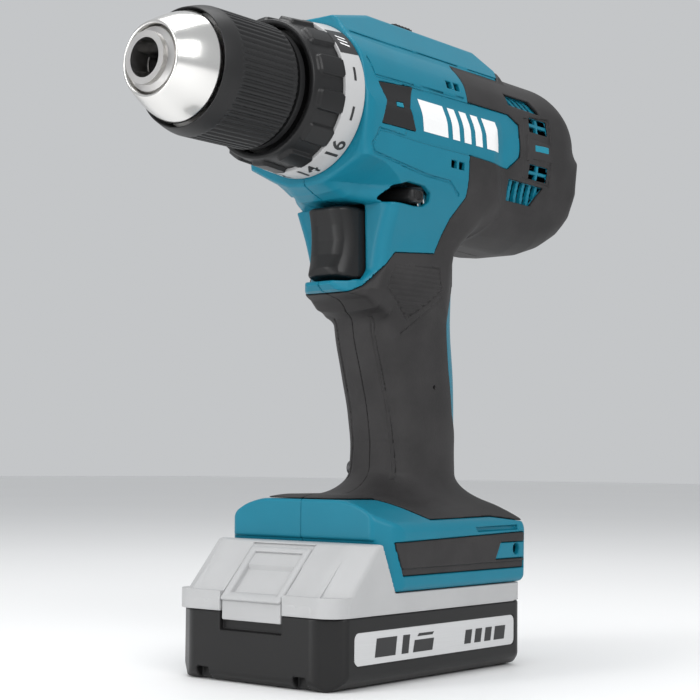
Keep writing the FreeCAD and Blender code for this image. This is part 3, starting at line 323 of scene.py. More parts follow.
class Finish:
    """A material's node tree: one method adds any node, and one closes it with the shader."""

    def __init__(self, name):
        self.material = bpy.data.materials.new(name)
        self.material.use_nodes = True
        self.tree = self.material.node_tree
        self.shader = self.tree.nodes["Principled BSDF"]
        self.place = self.add("ShaderNodeTexCoord")["Object"]

    def add(self, kind, settings=(), **values):
        """A node with its settings made first, then its sockets; returns its outputs by name."""
        node = self.tree.nodes.new(kind)
        for name, value in dict(settings).items():
            setattr(node, name, value)
        for name, value in values.items():
            self.feed(node.inputs[name.replace("_", " ")], value)
        return {output.name: Value(self.tree, output) for output in node.outputs}

    def feed(self, socket, value):
        if isinstance(value, Value):
            self.tree.links.new(value.socket, socket)
        else:
            socket.default_value = value

    def noise(self, scale, detail=3.0, roughness=0.5, stretch_by=None):
        """Grey noise in object space; the scale is in features a metre."""
        place = self.place
        if stretch_by:
            place = self.add("ShaderNodeMapping", Vector=place, Scale=stretch_by)["Vector"]
        return self.add("ShaderNodeTexNoise", Vector=place, Scale=scale, Detail=detail,
                        Roughness=roughness)["Fac"]

    def mix(self, amount, first, second):
        """A colour between two others."""
        node = self.tree.nodes.new("ShaderNodeMix")
        node.data_type = "RGBA"
        for socket, value in ((node.inputs[0], amount), (node.inputs[6], first), (node.inputs[7], second)):
            self.feed(socket, value)
        return Value(self.tree, node.outputs[2])

    def bump(self, height, strength, distance):
        return self.add("ShaderNodeBump", Height=height, Strength=strength, Distance=distance)["Normal"]

    def close(self, **values):
        for name, value in values.items():
            self.feed(self.shader.inputs[name.replace("_", " ")], value)
        return self.material


def colour(red, green, blue, share=1.0):
    return (red * share, green * share, blue * share, 1.0)


def moulded(name, base, roughness, grain, grain_depth, worn=1.35, coat=0.0):
    """Moulded plastic: an eroded grain, faint flow mottling and a slightly brighter rub on the high spots."""
    finish = Finish(name)
    mottle = finish.noise(60.0, 4.0)
    fine = finish.noise(grain, 2.0, 0.6)
    rub = finish.noise(9.0, 5.0, 0.65).above(0.62, 0.12)
    shade = finish.mix(mottle, colour(*base, 0.90), colour(*base, 1.08))
    shade = finish.mix(rub * 0.18, shade, colour(*[min(1.0, part * worn) for part in base]))
    rough = roughness - 0.05 + fine * 0.06 + mottle * 0.05 - rub * 0.05
    return finish.close(Base_Color=shade, Roughness=rough, Normal=finish.bump(fine, 0.35, grain_depth),
                        Coat_Weight=coat, Coat_Roughness=0.25, Specular_IOR_Level=0.26)


def soft_moulded(name, base):
    """Thermoplastic elastomer: matt, dusty on its high grain, darker in its folds."""
    finish = Finish(name)
    cloud = finish.noise(38.0, 6.0, 0.62)
    pebble = finish.add("ShaderNodeTexVoronoi", {"feature": "SMOOTH_F1"}, Vector=finish.place,
                        Scale=1500.0)["Distance"]
    fine = finish.noise(2600.0, 2.0)
    dust = cloud.above(0.55, 0.30)
    shade = finish.mix(dust, colour(*base, 0.86), colour(*base, 1.38))
    rough = 0.56 + cloud * 0.14 - fine * 0.04
    grain = pebble * 0.6 + fine * 0.4
    return finish.close(Base_Color=shade, Roughness=rough, Normal=finish.bump(grain, 0.30, 0.00025),
                        Specular_IOR_Level=0.30)


def turned_metal(name, base, roughness, lines=0.00002, darker=0.8):
    """Metal turned on a lathe: fine rings about the spindle line and a faint streaking."""
    finish = Finish(name)
    rings = finish.noise(1.0, 4.0, 0.7, (2600.0, 40.0, 40.0))
    haze = finish.noise(70.0, 4.0)
    shade = finish.mix(haze, colour(*base, darker), colour(*base))
    rough = roughness + rings * 0.07 + haze * 0.05
    return finish.close(Base_Color=shade, Metallic=1.0, Roughness=rough,
                        Normal=finish.bump(rings, 0.25, lines))


def wound(name):
    """Laminated core with lacquered copper showing in its slots."""
    finish = Finish(name)
    sheets = finish.add("ShaderNodeTexWave", {"bands_direction": "X"}, Vector=finish.place,
                        Scale=900.0)["Fac"]
    shade = finish.mix(sheets, colour(0.36, 0.16, 0.07), colour(0.55, 0.27, 0.12))
    return finish.close(Base_Color=shade, Metallic=0.7, Roughness=0.4,
                        Normal=finish.bump(sheets, 0.3, 0.0001))


def foil(name):
    """Silver foil label: a brushed sheen under a clear film."""
    finish = Finish(name)
    brushed = finish.noise(1.0, 3.0, 0.6, (60.0, 60.0, 5200.0))
    cloud = finish.noise(40.0, 3.0)
    shade = finish.mix(brushed, colour(0.50, 0.505, 0.51), colour(0.62, 0.62, 0.625))
    return finish.close(Base_Color=shade, Metallic=0.15, Roughness=0.36 + cloud * 0.08,
                        Normal=finish.bump(brushed, 0.12, 0.00003), Coat_Weight=0.3, Coat_Roughness=0.12)


def ink(name, base):
    """Printed ink with slightly uneven cover."""
    finish = Finish(name)
    cover = finish.noise(1600.0, 3.0)
    shade = finish.mix(cover, colour(*base, 0.92), colour(*base))
    return finish.close(Base_Color=shade, Roughness=0.42 + cover * 0.1)


TEAL_BASE = (0.004, 0.165, 0.245)
TEAL = moulded("teal_shell_plastic", TEAL_BASE, 0.40, 3200.0, 0.00010, worn=1.25)
TEAL_BRIGHT = moulded("teal_insert_plastic", (0.006, 0.215, 0.305), 0.36, 3200.0, 0.00006)
ELASTOMER = soft_moulded("soft_grip_elastomer", (0.026, 0.0245, 0.0248))
BLACK = moulded("black_satin_plastic", (0.013, 0.013, 0.0135), 0.38, 2600.0, 0.00007, worn=2.0)
KNURL_BLACK = moulded("black_sleeve_plastic", (0.017, 0.017, 0.0175), 0.42, 3000.0, 0.00006, worn=1.8)
GREY = moulded("light_grey_plastic", (0.425, 0.427, 0.430), 0.42, 3000.0, 0.00008, worn=1.1)
SCALE_GREY = moulded("scale_ring_plastic", (0.46, 0.46, 0.462), 0.38, 3000.0, 0.00005, worn=1.1)
CASE_BLACK = moulded("battery_case_plastic", (0.012, 0.0118, 0.012), 0.36, 2400.0, 0.00008, worn=2.0)
CHROME = turned_metal("plated_nose_metal", (0.80, 0.79, 0.77), 0.13, 0.000008, 0.93)
STEEL = turned_metal("turned_steel", (0.56, 0.55, 0.54), 0.26)
DARK_STEEL = turned_metal("blackened_steel", (0.12, 0.12, 0.125), 0.34)
BRASS = turned_metal("sintered_brass", (0.62, 0.44, 0.20), 0.36)
FERRITE = moulded("ferrite_magnet", (0.05, 0.05, 0.055), 0.6, 2000.0, 0.0001)
COPPER = wound("laminated_core")
FOIL = foil("silver_foil_label")
WHITE_INK = ink("white_print", (0.86, 0.86, 0.86))
DARK_INK = ink("dark_print", (0.018, 0.018, 0.019))
CELL_WRAP = moulded("cell_shrink_wrap", (0.06, 0.28, 0.16), 0.3, 900.0, 0.00004, coat=0.5)
BOARD_GREEN = moulded("circuit_board_mask", (0.02, 0.14, 0.06), 0.35, 1200.0, 0.00004, coat=0.4)
LEAD_RED = moulded("lead_insulation", (0.32, 0.03, 0.03), 0.45, 1500.0, 0.00004)

CAD_FINISHES = {
    "blue_plastic": TEAL, "elastomer": ELASTOMER, "black_plastic": BLACK, "grey_plastic": GREY,
    "chrome": CHROME, "steel": STEEL, "dark_steel": DARK_STEEL, "brass": BRASS, "magnet": FERRITE,
    "winding": COPPER, "silver_label": FOIL, "cell_wrap": CELL_WRAP, "board": BOARD_GREEN, "lead": LEAD_RED,
}
for part in frame["record"]["subparts"]:
    carried = frame["nodes"][part["node"]]
    if not carried.data.materials:
        carried.data.materials.append(None)
    for place in carried.material_slots:
        place.material = CAD_FINISHES[part["material_slot"]]


# ------------------------------------------------------------------ the housing's shape
WALL = 2.4
BARREL_R = 29.0
COLLAR_X = SCALE_REAR - 0.4
SIDE_FLAT = 28.6
# how deep below the outer shape: the side band, the inlays, the soft moulding and its bed in the shell
BAND_DEPTH, INLAY_DEPTH, SOFT_DEPTH, BED_DEPTH = 0.7, 1.9, 1.45, 1.6
SEAM_GAP = 0.04


def barrel_field(x, y, z):
    """The round motor barrel with slightly flattened sides and a full round rear end."""
    up = z - AXIS_Z
    around = np.hypot(y, up)
    tube = corner(around - BARREL_R - 0.4 * np.clip((x - 10) / 27, 0, 1), np.abs(y) - SIDE_FLAT, 4.0)
    rear_cap = REAR_X + 1.0 - x + np.abs(up) * 0.04
    return corner(tube, rear_cap, 21.0)


def ridge_field(x, y, z):
    """The raised spine on top: sloped sides, a flat crown, and slopes at both ends."""
    side = outline(x, z, [(-68, 200), (-65.0, 236.0), (-57.0, RIDGE_Z), (11.0, RIDGE_Z), (37.0, 236.5),
                          (37.0, 200)])
    slope = (np.abs(y) - 8.3) * 0.79 + (z - RIDGE_Z) * 0.613
    return corner(corner(side, slope, 1.6), np.abs(y) - 18.5, 1.5)


def belly_field(x, y, z):
    """The motor's belly: a full swelling under the rear of the barrel."""
    side = outline(x, z, [(-40, 190), (-42, 163.2), (-74, 162.0), (-86, 163.0), (-95, 166.2), (-103, 171.2),
                          (-109.5, 178.5), (-113.8, 189.0), (-115.0, 206.0), (-60, 210)])
    return corner(side, np.abs(y) - smooth_steps(z, [(160, 15), (166, 20.5), (176, 24.5), (190, 26)]), 9.0)


def cheek_field(x, y, z):
    """Both sides below the barrel, drawn in towards the trigger."""
    front_line = outline(x, z, [(37.0, 207), (37.4, 182), (35.5, 177.0), (31.5, 173.6), (27.0, 171.6),
                                (15.5, 170.5), (14.6, 146.0), (17.5, 139.0), (12.0, 133.0), (-28, 133.0),
                                (-31, 156.0), (-42, 168.0), (-50, 178.0), (-46, 207)])
    half = smooth_steps(z, [(134, 16.6), (150, 18.0), (160, 20.6), (170, 24.2), (178, 27.0), (184, 28.4),
                            (200, 28.6)])
    chin = smooth_steps(x, [(6, 40), (14, 24), (24, 15), (38, 11.5)]) + np.maximum(z - 176.5, 0) * 2.0
    return corner(front_line, np.abs(y) - np.minimum(half, chin), 5.0)


def lip_field(x, y, z):
    """The small shelf under the trigger."""
    side = outline(x, z, [(28.0, 142.2), (29.0, 140.6), (26.5, 138.4), (16.0, 136.2), (6.0, 132.0),
                          (2.0, 146.0), (14.0, 146.0), (18.5, 142.6)])
    return corner(side, np.abs(y) - smooth_steps(x, [(4, 15.6), (18, 13.4), (24, 10.5), (30, 4.5)]), 1.2)


def grip_field(x, y, z):
    """The handle: an oval that swells in the palm."""
    front_edge = smooth_steps(z, [(58, 0.5), (72, -2.6), (84, -3.0), (98, -0.6), (112, 3.8), (122, 7.2),
                                  (136, 9.4), (150, 10)])
    back_edge = smooth_steps(z, [(58, -46.0), (70, -45.6), (90, -46.0), (112, -45.8), (130, -44.4),
                                 (142, -44.6), (172, -45.0)])
    half = smooth_steps(z, [(60, 17.6), (80, 16.2), (105, 16.8), (125, 16.4), (145, 17.2)])
    middle, reach = (front_edge + back_edge) / 2, (front_edge - back_edge) / 2
    across = np.abs(y) / half
    along = np.abs(x - middle) / reach
    fullness = np.where(x < middle, 2.15, 2.9)
    oval = (across ** fullness + along ** fullness) ** (1 / fullness)
    ends = np.maximum(60.0 - z, z - 172.0)
    return np.maximum((oval - 1) * half * 0.95, ends)


def foot_field(x, y, z):
    """The battery foot: a hipped cap with slanted front corners."""
    away = np.abs(y)
    cap = np.maximum(z - 64.2, -(z - FOOT_LOW))
    side_slope = (away - 22.5) * 0.50 + (z - 63.4) * 0.866
    front_slope = (x - 37.0) * 0.54 + (z - 63.4) * 0.842
    brow = (x - 54.6) * 0.92 + (z - 54.5) * 0.39
    rear_slope = -(x + 47.5) * 0.72 + (z - 62.6) * 0.694
    back = -(x + 50.8) - (z - 40) * 0.02
    hip = (x - 56.2) * 0.62 + (away - 17.0) * 0.785
    shape = corner(cap, side_slope, 5.0)
    for face, edge in ((rear_slope, 5.0), (front_slope, 3.0), (brow, 2.0), (back, 3.0), (hip, 1.6),
                       (x - 56.0, 1.5), (away - FOOT_HALF, 2.2)):
        shape = corner(shape, face, edge)
    return shape


def nose_cut(x, y, z):
    """What the battery's sloping front takes out of the foot's underside."""
    return outline(x, z, [(27.2, 20), (36.0, 48.9), (70, 49.4), (70, 20)])


def solid_body(x, y, z):
    """The closed housing's outer shape."""
    upper = blend_in(barrel_field(x, y, z), belly_field(x, y, z), 5.0)
    upper = blend_in(upper, cheek_field(x, y, z), 6.0)
    upper = blend_in(upper, ridge_field(x, y, z), 1.6)
    upper = blend_in(upper, lip_field(x, y, z), 2.0)
    lower = blend_in(grip_field(x, y, z), foot_field(x, y, z), 11.0)
    whole = blend_in(upper, lower, 5.0)
    whole = take(whole, nose_cut(x, y, z), 0.8)
    return corner(whole, x - COLLAR_X, 1.2)


# drawn grooves and steps on each side, as (x, z) points with a half width
SIDE_LINES = [
    ([(-61.0, 230.9), (34.0, 229.7)], 0.5),
    ([(33.4, 219.6), (30.2, 213.4), (2.0, 214.4), (-25.0, 215.0)], 0.4),
    ([(29.2, 194.2), (33.0, 188.0), (31.6, 185.6), (0.0, 182.0), (-15.0, 181.6), (-22.0, 177.6)], 0.5),
    ([(29.2, 194.2), (0.0, 193.4), (-25.0, 193.6)], 0.4),
]
TRIGGER_HALF = 10.9
FLANK_BAND = [(14.0, 213.2), (-55.4, 214.2), (-62.6, 211.2), (-63.0, 198.2), (-55.4, 192.6), (14.0, 193.4)]
BOWTIE = [(8.2, 213.2), (28.6, 211.6), (25.6, 205.2), (28.4, 196.6), (8.2, 196.8), (11.2, 204.8)]
FRONT_SLOTS = [[(x, z), (x + 3.8, z), (x + 3.8, z + 2.9), (x, z + 2.9)]
               for x in (-23.8, -18.8) for z in (217.6, 187.1)]
UPPER_VENT = [(-56.0, 223.2), (-56.6, 218.6), (-79.6, 218.2), (-75.0, 223.2)]
LOWER_VENT = [(-57.0, 189.0), (-56.6, 180.4), (-74.4, 180.2), (-82.6, 188.6)]
SMALL_VENTS = [[(-71.0, z), (-84.4, z), (-84.4, z + 5.8), (-71.0, z + 5.8)] for z in (210.2, 191.0)]
REAR_LENS = [(-84.0, 205.4), (-73.6, 205.0), (-73.6, 202.2), (-84.0, 202.6)]
SCREW_PLACES = [(-36.0, 150.0, 12.0), (-36.0, 102.0, 12.0), (-9.0, 74.0, 12.0), (-60.0, 168.5, 12.0),
                (24.0, 177.5, 12.0), (-50.0, 237.3, 5.5), (24.0, 234.5, 6.0), (-44.0, 56.0, 12.0),
                (30.0, 58.5, 12.0)]
LEVER_WAY = [(17.0, 172.4), (14.2, 176.0), (9.2, 177.6), (0.0, 177.3), (-4.2, 175.4), (-4.6, 173.4),
             (-2.2, 171.7), (3.0, 171.2), (14.6, 171.5)]
CENTRE_BLOCK = [(-68.0, 209.6), (-72.0, 207.6), (-89.0, 207.2), (-89.0, 199.0), (-72.0, 198.4),
                (-68.0, 196.4)]


def openings(x, y, z):
    """Everything cut through the housing's wall."""
    away = np.abs(y)
    trigger = block(x, away, z, ((-24, 60), (-5, TRIGGER_HALF), (141.8, 171.2)), 1.5)
    lever = np.maximum(outline(x, z, LEVER_WAY) - 0.8, 14 - away)
    knob = block(x, away, z, ((-25.6, -6.8), (-5, 6.6), (AXIS_Z + 25, AXIS_Z + 60)), 0.6)
    battery = block(x, away, z, ((-44.3, 80), (-5, 27.6), (20, 44.6)), 0.4)
    vents = outline(x, z, FRONT_SLOTS[0])
    for shape in FRONT_SLOTS[1:] + [UPPER_VENT, LOWER_VENT] + SMALL_VENTS:
        vents = np.minimum(vents, outline(x, z, shape))
    vents = np.maximum(vents, 15 - away)
    hook = np.maximum(np.hypot(x + 44.2, z - 43.9) - 2.15, 29.0 - away)
    cut = trigger
    for other in (lever, knob, battery, vents, hook):
        cut = np.minimum(cut, other)
    return cut


def on_sides(shape, y, reach=12.0):
    """A side-view shape kept to the flanks of the tool."""
    return np.maximum(shape, reach - np.abs(y))


def detailed(body, x, y, z):
    """The outer shape with its grooves and panels."""
    shape = body
    for points, half_width in SIDE_LINES:
        groove = np.maximum(on_sides(line(x, z, points, half_width), y), -(body + 0.6))
        shape = take(shape, groove, 0.25)
    slot = np.maximum(on_sides(outline(x, z, FOOT_SLOT), y, 28), -(body + 1.5))
    band = np.maximum(on_sides(outline(x, z, FLANK_BAND), y, 20), -(body + BAND_DEPTH))
    return take(take(shape, slot, 0.3), band, 0.25)


# The black soft moulding, as seen from the side: everything behind and below this outline.
BLACK_AREA = [(-27.4, 229.8), (-27.4, 214.2), (-55.4, 214.3), (-62.8, 211.2), (-63.0, 198.1), (-55.4,
              192.4), (-26.7, 193.3), (-27.0, 177.3), (-20.8, 168.6), (-15.9, 155.0), (7.0, 153.2), (15.1,
              143.4), (18.5, 140.2), (23.3, 137.8), (29.0, 136.6), (60.0, 130), (60.0, 63.3), (20.0,
              62.8), (15.5, 60.6), (7.2, 55.8), (-31.8, 56.2), (-48.8, 54.4), (-60, 54.0), (-60.0,
              84.8), (-41.0, 84.8), (-34.6, 95), (-31.4, 112), (-30.6, 132), (-37.0, 144.5), (-60,
              145.0), (-130, 150), (-130, 260), (-67.0, 260), (-67.0, 238.0), (-60.5, 229.8)]
FOOT_SLOT = [(-45.4, 52.9), (-17.4, 52.6), (-18.6, 50.9), (-45.4, 51.1)]
STRIP = [(-49.2, 50.2), (30.2, 48.4), (26.6, 36.8), (-49.2, 36.8)]
STRIP_WINDOW = [(-60, 46.6), (-33.5, 46.6), (-30.0, 40.4), (-60, 40.4)]
SOFT_PROUD = 0.35


def trim_edge(x, z):
    """Distance to the black moulding's edge in the side view, negative on the black."""
    main = outline(x, z, BLACK_AREA)
    strip = np.maximum(outline(x, z, STRIP), -outline(x, z, STRIP_WINDOW))
    return np.minimum(main, strip)


def louvre_slats(body, x, y, z):
    """The teal bars behind the rear vents, leaning as the vents lean."""
    upper = np.abs(((x - (z - 218.2) * 0.9 + 57.8) / 4.4) % 1 - 0.5) * 4.4 - 0.95
    lower = np.abs(((x + 58.4) / 4.6) % 1 - 0.5) * 4.6 - 0.95
    grid = np.minimum(np.abs(x + 77.6) - 0.8, np.minimum(np.abs(z - 213.1) - 0.7, np.abs(z - 193.9) - 0.7))
    vents = [(UPPER_VENT, upper), (LOWER_VENT, lower)] + [(shape, grid) for shape in SMALL_VENTS]
    slats = None
    for shape, bars in vents:
        bar = np.maximum(outline(x, z, shape) - 0.6, bars)
        slats = bar if slats is None else np.minimum(slats, bar)
    return on_sides(np.maximum(slats, np.maximum(body + 1.5, -(body + 3.6))), y, 15)


def screw_tunnels(body, x, y, z):
    """The tubes that lead to the closing screws, and the holes down them."""
    tube = hole = None
    for sx, sz, seat in SCREW_PLACES:
        around = np.hypot(x - sx, z - sz)
        wall = np.maximum(around - 4.3, seat - y)
        way = np.maximum(around - 3.1, seat - y)
        tube = wall if tube is None else np.minimum(tube, wall)
        hole = way if hole is None else np.minimum(hole, way)
    return np.maximum(tube, body + 0.3), hole


def shell_field(x, y, z, screws=False):
    """The teal shell: the wall, less the openings, less the soft moulding's bed."""
    body = solid_body(x, y, z)
    wall = np.maximum(detailed(body, x, y, z), -(body + WALL))
    if screws:
        tube, hole = screw_tunnels(body, x, y, z)
        wall = take(np.minimum(wall, tube), hole, 0.4)
    wall = take(wall, openings(x, y, z), 0.5)
    pocket = np.maximum(on_sides(outline(x, z, BOWTIE) - 0.12, y, 20), -(body + 2.0))
    bed = np.maximum(trim_edge(x, z) - 0.12, -(body + BED_DEPTH))
    wall = take(wall, np.minimum(bed, pocket), 0.35)
    wall = np.minimum(wall, louvre_slats(body, x, y, z))
    return np.maximum(wall, SEAM_GAP - y)


def grip_texture(x, y, z):
    """What is drawn into the soft moulding on each side, as depths."""
    pad = outline(x, z, [(-20.2, 150.2), (5.8, 149.0), (9.4, 140.2), (-4.2, 129.6), (-22.8, 141.6)])
    ribs = 0.46 * (0.5 + 0.5 * np.cos(z * 2 * math.pi / 1.9)) + 0.12
    depth = np.where(pad < 0, ribs, 0.0)
    rim = np.clip(1 - np.abs(pad) / 0.7, 0, 1) * 0.42
    crease = np.clip(1 - np.abs(line(x, z, [(-22.5, 139.0), (-2.0, 124.0)], 0)) / 0.7, 0, 1) * 0.55
    return depth + rim + crease


def soft_field(x, y, z, screws=False):
    """The soft moulding over the motor, the grip and the foot, with its vents and grooves."""
    away = np.abs(y)
    body = solid_body(x, y, z)
    shape = body - SOFT_PROUD + grip_texture(x, y, z) * (away > 6)
    block_edge = np.maximum(outline(x, z, CENTRE_BLOCK), 15 - away)
    hollow = np.maximum(outline(x, z, [(-86.0, 217.4), (-66, 214.8), (-66, 190.6), (-86, 189.6)]),
                        -block_edge - 0.6)
    shape = take(shape, np.maximum(np.maximum(hollow, 15 - away), -(body + 0.45)), 0.4)
    side_line = np.abs(line(z, np.broadcast_to(away, np.broadcast(y, z).shape),
                            [(60, 11.5), (85, 9.0), (125, 8.2), (142, 9.5)], 0)) - 0.55
    front_seam = np.maximum(np.maximum(side_line, -(x + 18)), np.maximum(z - 130, 70 - z))
    shape = take(shape, np.maximum(front_seam, -(body - 0.05)), 0.4)
    pin_hole = np.maximum(np.hypot(x + 20.2, z - 104.7) - 0.75, 8 - away)
    strip_step = np.maximum(slab(z, 36.6, 39.4), np.maximum(30 - away, -(body + 0.4)))
    shape = take(take(shape, pin_hole, 0.2), strip_step, 0.3)
    if screws:
        shape = take(shape, screw_tunnels(body, x, y, z)[1], 0.4)
    shape = np.maximum(shape, -(body + SOFT_DEPTH))
    shape = corner(shape, trim_edge(x, z) + 0.10, 0.55)
    shape = take(shape, openings(x, y, z), 0.5)
    return np.maximum(shape, SEAM_GAP - y)


BODY_SPANS = ((REAR_X - 1, 56.6), (0.0, FOOT_HALF + 1), (FOOT_LOW - 1, RIDGE_Z + 1))


def housing():
    """Both halves of the shell and of the soft moulding; the closing screws are driven from the right."""
    for side, screws in (("left", False), ("right", True)):
        for name, field, slot, finish, stands_for in (
                ("housing_shell", shell_field, "blue_plastic", TEAL, "housing"),
                ("soft_moulding", soft_field, "elastomer", ELASTOMER, "grip_cover")):
            surface = carve(lambda x, y, z: field(x, y, z, screws), BODY_SPANS, FINE)
            if screws:
                surface = mirrored(surface)
            piece = place_surface(f"{name}_{side}", surface, "tool", finish)
            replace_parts(piece, f"{stands_for}_{side}")


def side_point(x, z, lift=0.12):
    """Where a point in the side view meets the tool's left flank, raised a little."""
    depths = np.linspace(36.0, 14.0, 441)[None, :]
    body = solid_body(np.asarray(x)[:, None], depths, np.asarray(z)[:, None])
    band = on_sides(outline(np.asarray(x)[:, None], np.asarray(z)[:, None], FLANK_BAND), depths, 20)
    shape = take(body, np.maximum(band, -(body + BAND_DEPTH)), 0.25)
    return depths[0][np.argmax(shape < 0, axis=1)] + lift


def flank_patch(name, corners, body, material, across=12, along=24, flat=None):
    """A printed four-cornered mark laid on each flank; corners run round it in the side view."""
    u, v = np.meshgrid(np.linspace(0, 1, along), np.linspace(0, 1, across + 1), indexing="ij")
    u, v = u.ravel()[:, None], v.ravel()[:, None]
    a, b, c, d = (np.array(point, float)[None, :] for point in corners)
    flat_spots = (a * (1 - u) + b * u) * (1 - v) + (d * (1 - u) + c * u) * v
    x, z = flat_spots.T
    y = side_point(x, z) if flat is None else np.full_like(x, flat)
    row, col = np.meshgrid(np.arange(along - 1), np.arange(across), indexing="ij")
    first = row * (across + 1) + col
    faces = np.stack([first, first + 1, first + across + 2, first + across + 1], 2).reshape(-1, 4)
    for side, sign in (("left", 1), ("right", -1)):
        spots = np.stack([x, y * sign, z], 1)
        turned_faces = faces if sign > 0 else faces[:, ::-1]
        a, b, c = (spots[turned_faces[0, k]] for k in range(3))
        if np.cross(b - a, c - a)[1] * sign < 0:
            turned_faces = turned_faces[:, ::-1]
        new_piece(f"{name}_{side}", spots, turned_faces, body, material, smooth=False)


def flank_trim():
    """The inlays and the printed bars on both flanks."""
    def bowtie_field(x, y, z):
        body = solid_body(x, y, z)
        valley = 1.15 - 0.15 * np.abs(z - 205.0)
        shape = corner(outline(x, z, BOWTIE), body + np.maximum(valley, -0.15), 0.4)
        window = on_sides(outline(x, z, [(15.0, 206.2), (19.4, 206.0), (19.4, 203.8), (15.0, 204.0)]), y)
        return on_sides(np.maximum(take(shape, window, 0.15), -(body + INLAY_DEPTH)), y, 20)

    def lens_field(x, y, z):
        body = solid_body(x, y, z)
        rear_bar = corner(on_sides(outline(x, z, REAR_LENS), y, 15), body - SOFT_PROUD - 0.12, 0.3)
        front_bar = on_sides(outline(x, z, [(15.2, 206.0), (19.2, 205.8), (19.2, 204.0), (15.2, 204.2)]), y)
        return np.maximum(np.minimum(rear_bar, np.maximum(front_bar, body + 1.0)), -(body + INLAY_DEPTH))

    for name, field, spans, slot, finish in (
            ("bowtie_inlay", bowtie_field, ((6, 31), (20, 31), (194, 216)), "black_plastic", BLACK),
            ("teal_bars", lens_field, ((-88, 31), (15, 31), (200, 208)), "blue_plastic", TEAL_BRIGHT)):
        surface = carve(field, spans, FINE * 0.6)
        place_surface(name + "_left", surface, "tool", finish)
        place_surface(name + "_right", mirrored(surface), "tool", finish)
    for k, (x, width) in enumerate(((-47.5, 9.5), (-35.0, 4.6), (-27.4, 4.6), (-19.8, 4.6), (-12.2, 15.5))):
        lean = 2.4
        bar = [(x, 197.6), (x + width, 197.6), (x + width + lean, 209.4), (x + lean, 209.4)]
        flank_patch(f"white_bar_{k}", bar, "tool", WHITE_INK)

    def tab_field(x, y, z):
        return block(x, y, z, ((REAR_X - 0.4, REAR_X + 4), (-4.4, 4.4), (197.2, 205.0)), 0.6)

    carved("rear_tab", tab_field, ((REAR_X - 1, REAR_X + 5), (-5, 5), (196, 206)), "tool",
           TEAL_BRIGHT, 0.4)


# ------------------------------------------------------------------ chuck and torque ring
def chuck():
    """The plated nose and the ribbed sleeve."""
    run = np.linspace(0, 1, 18)
    span = CONE_X - 0.5 - (SLEEVE_X + 0.3)
    outer = [(SLEEVE_X + 0.3 + span * t, 18.9 - 5.9 * t + 0.75 * math.sin(math.pi * t) * (1 - 0.3 * t))
             for t in run]
    cone = [(SLEEVE_X + 0.05, 17.1), (SLEEVE_X + 0.05, 18.7)] + outer
    cone += [(CONE_X - 0.15, 12.75), (CONE_X, 12.4), (CONE_X - 0.05, 11.9), (CONE_X - 0.6, 11.6),
             (CONE_X - 4.0, 11.45)]
    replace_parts(turned("plated_nose", cone, "chuck_sleeve", CHROME, 192), "nose_cone")

    ribs = 60
    first, last = SLEEVE_REAR + 1.1, SLEEVE_X - 6.4

    def rib_relief(x, r, angle):
        wave = 0.5 + 0.5 * np.cos(angle * ribs)
        depth = np.clip(1.15 - 1.5 * wave, 0, 1)
        ends = np.clip((x - first) / 1.1, 0, 1) * np.clip((last - x) / 1.6, 0, 1)
        outside = r > SLEEVE_R - 2.6
        rear_step = np.where((x < first) & outside, -0.35 * (1 - wave), 0)
        return np.where(outside, -0.62 * depth * ends, 0) + rear_step

    sleeve = rounded_section([(SLEEVE_REAR, 19.95, 0), (SLEEVE_X, 19.95, 0), (SLEEVE_X, 19.7, 0.05)], 2)[:2]
    sleeve += rounded_section([(SLEEVE_REAR, 19.95, 0), (SLEEVE_X, 19.95, 0), (SLEEVE_X, 20.35, 0.2),
                               (SLEEVE_X - 4.0, 21.7, 1.4), (last, SLEEVE_R, 1.0), (first, SLEEVE_R, 0),
                               (SLEEVE_REAR, SLEEVE_R - 0.5, 0.4)], 5)[2:]
    sleeve = stretch(sleeve, SLEEVE_REAR, last + 0.2, 0.8)
    piece = turned("ribbed_sleeve", sleeve, "chuck_sleeve", KNURL_BLACK, ribs * 14,
                   rib_relief)
    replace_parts(piece, "chuck_sleeve_grip")


SCALE_STEP = 29.25
SCALE_SECTION_R = (28.35, 27.45)


def ring_radius(x):
    """The scale band's radius along the spindle line."""
    rear_r, front_r = SCALE_SECTION_R
    return rear_r + (front_r - rear_r) * (x - SCALE_REAR) / (SCALE_X - SCALE_REAR)


def on_ring(flat, angle, lift=0.07):
    """Flat points (along the ring's turn, towards the chuck) laid on the scale ring at an angle."""
    x = (SCALE_REAR + SCALE_X) / 2 + flat[:, 1]
    radius = ring_radius(x) + lift
    around = math.radians(angle) + flat[:, 0] / radius
    return np.stack([x, radius * np.cos(around), AXIS_Z + radius * np.sin(around)], 1)


def ring_mark(name, flat, faces, angle, material, lift=0.07):
    """A flat mark laid on the scale band."""
    new_piece(name, on_ring(np.asarray(flat, float), angle, lift), faces, "torque_ring",
              material, smooth=False)


def bar_mark(name, width, height, angle, material, lift=0.07, middle=(0.0, 0.0), lean=0.0):
    """A bar on the scale ring: width along its turn, height along X."""
    steps = np.linspace(-width / 2, width / 2, max(2, int(width / 0.8) + 2))
    flat = [(u + middle[0] + side * lean, side * height / 2 + middle[1]) for u in steps for side in (-1, 1)]
    faces = [(2 * k, 2 * k + 2, 2 * k + 3, 2 * k + 1) for k in range(len(steps) - 1)]
    ring_mark(name, flat, faces, angle, material, lift)


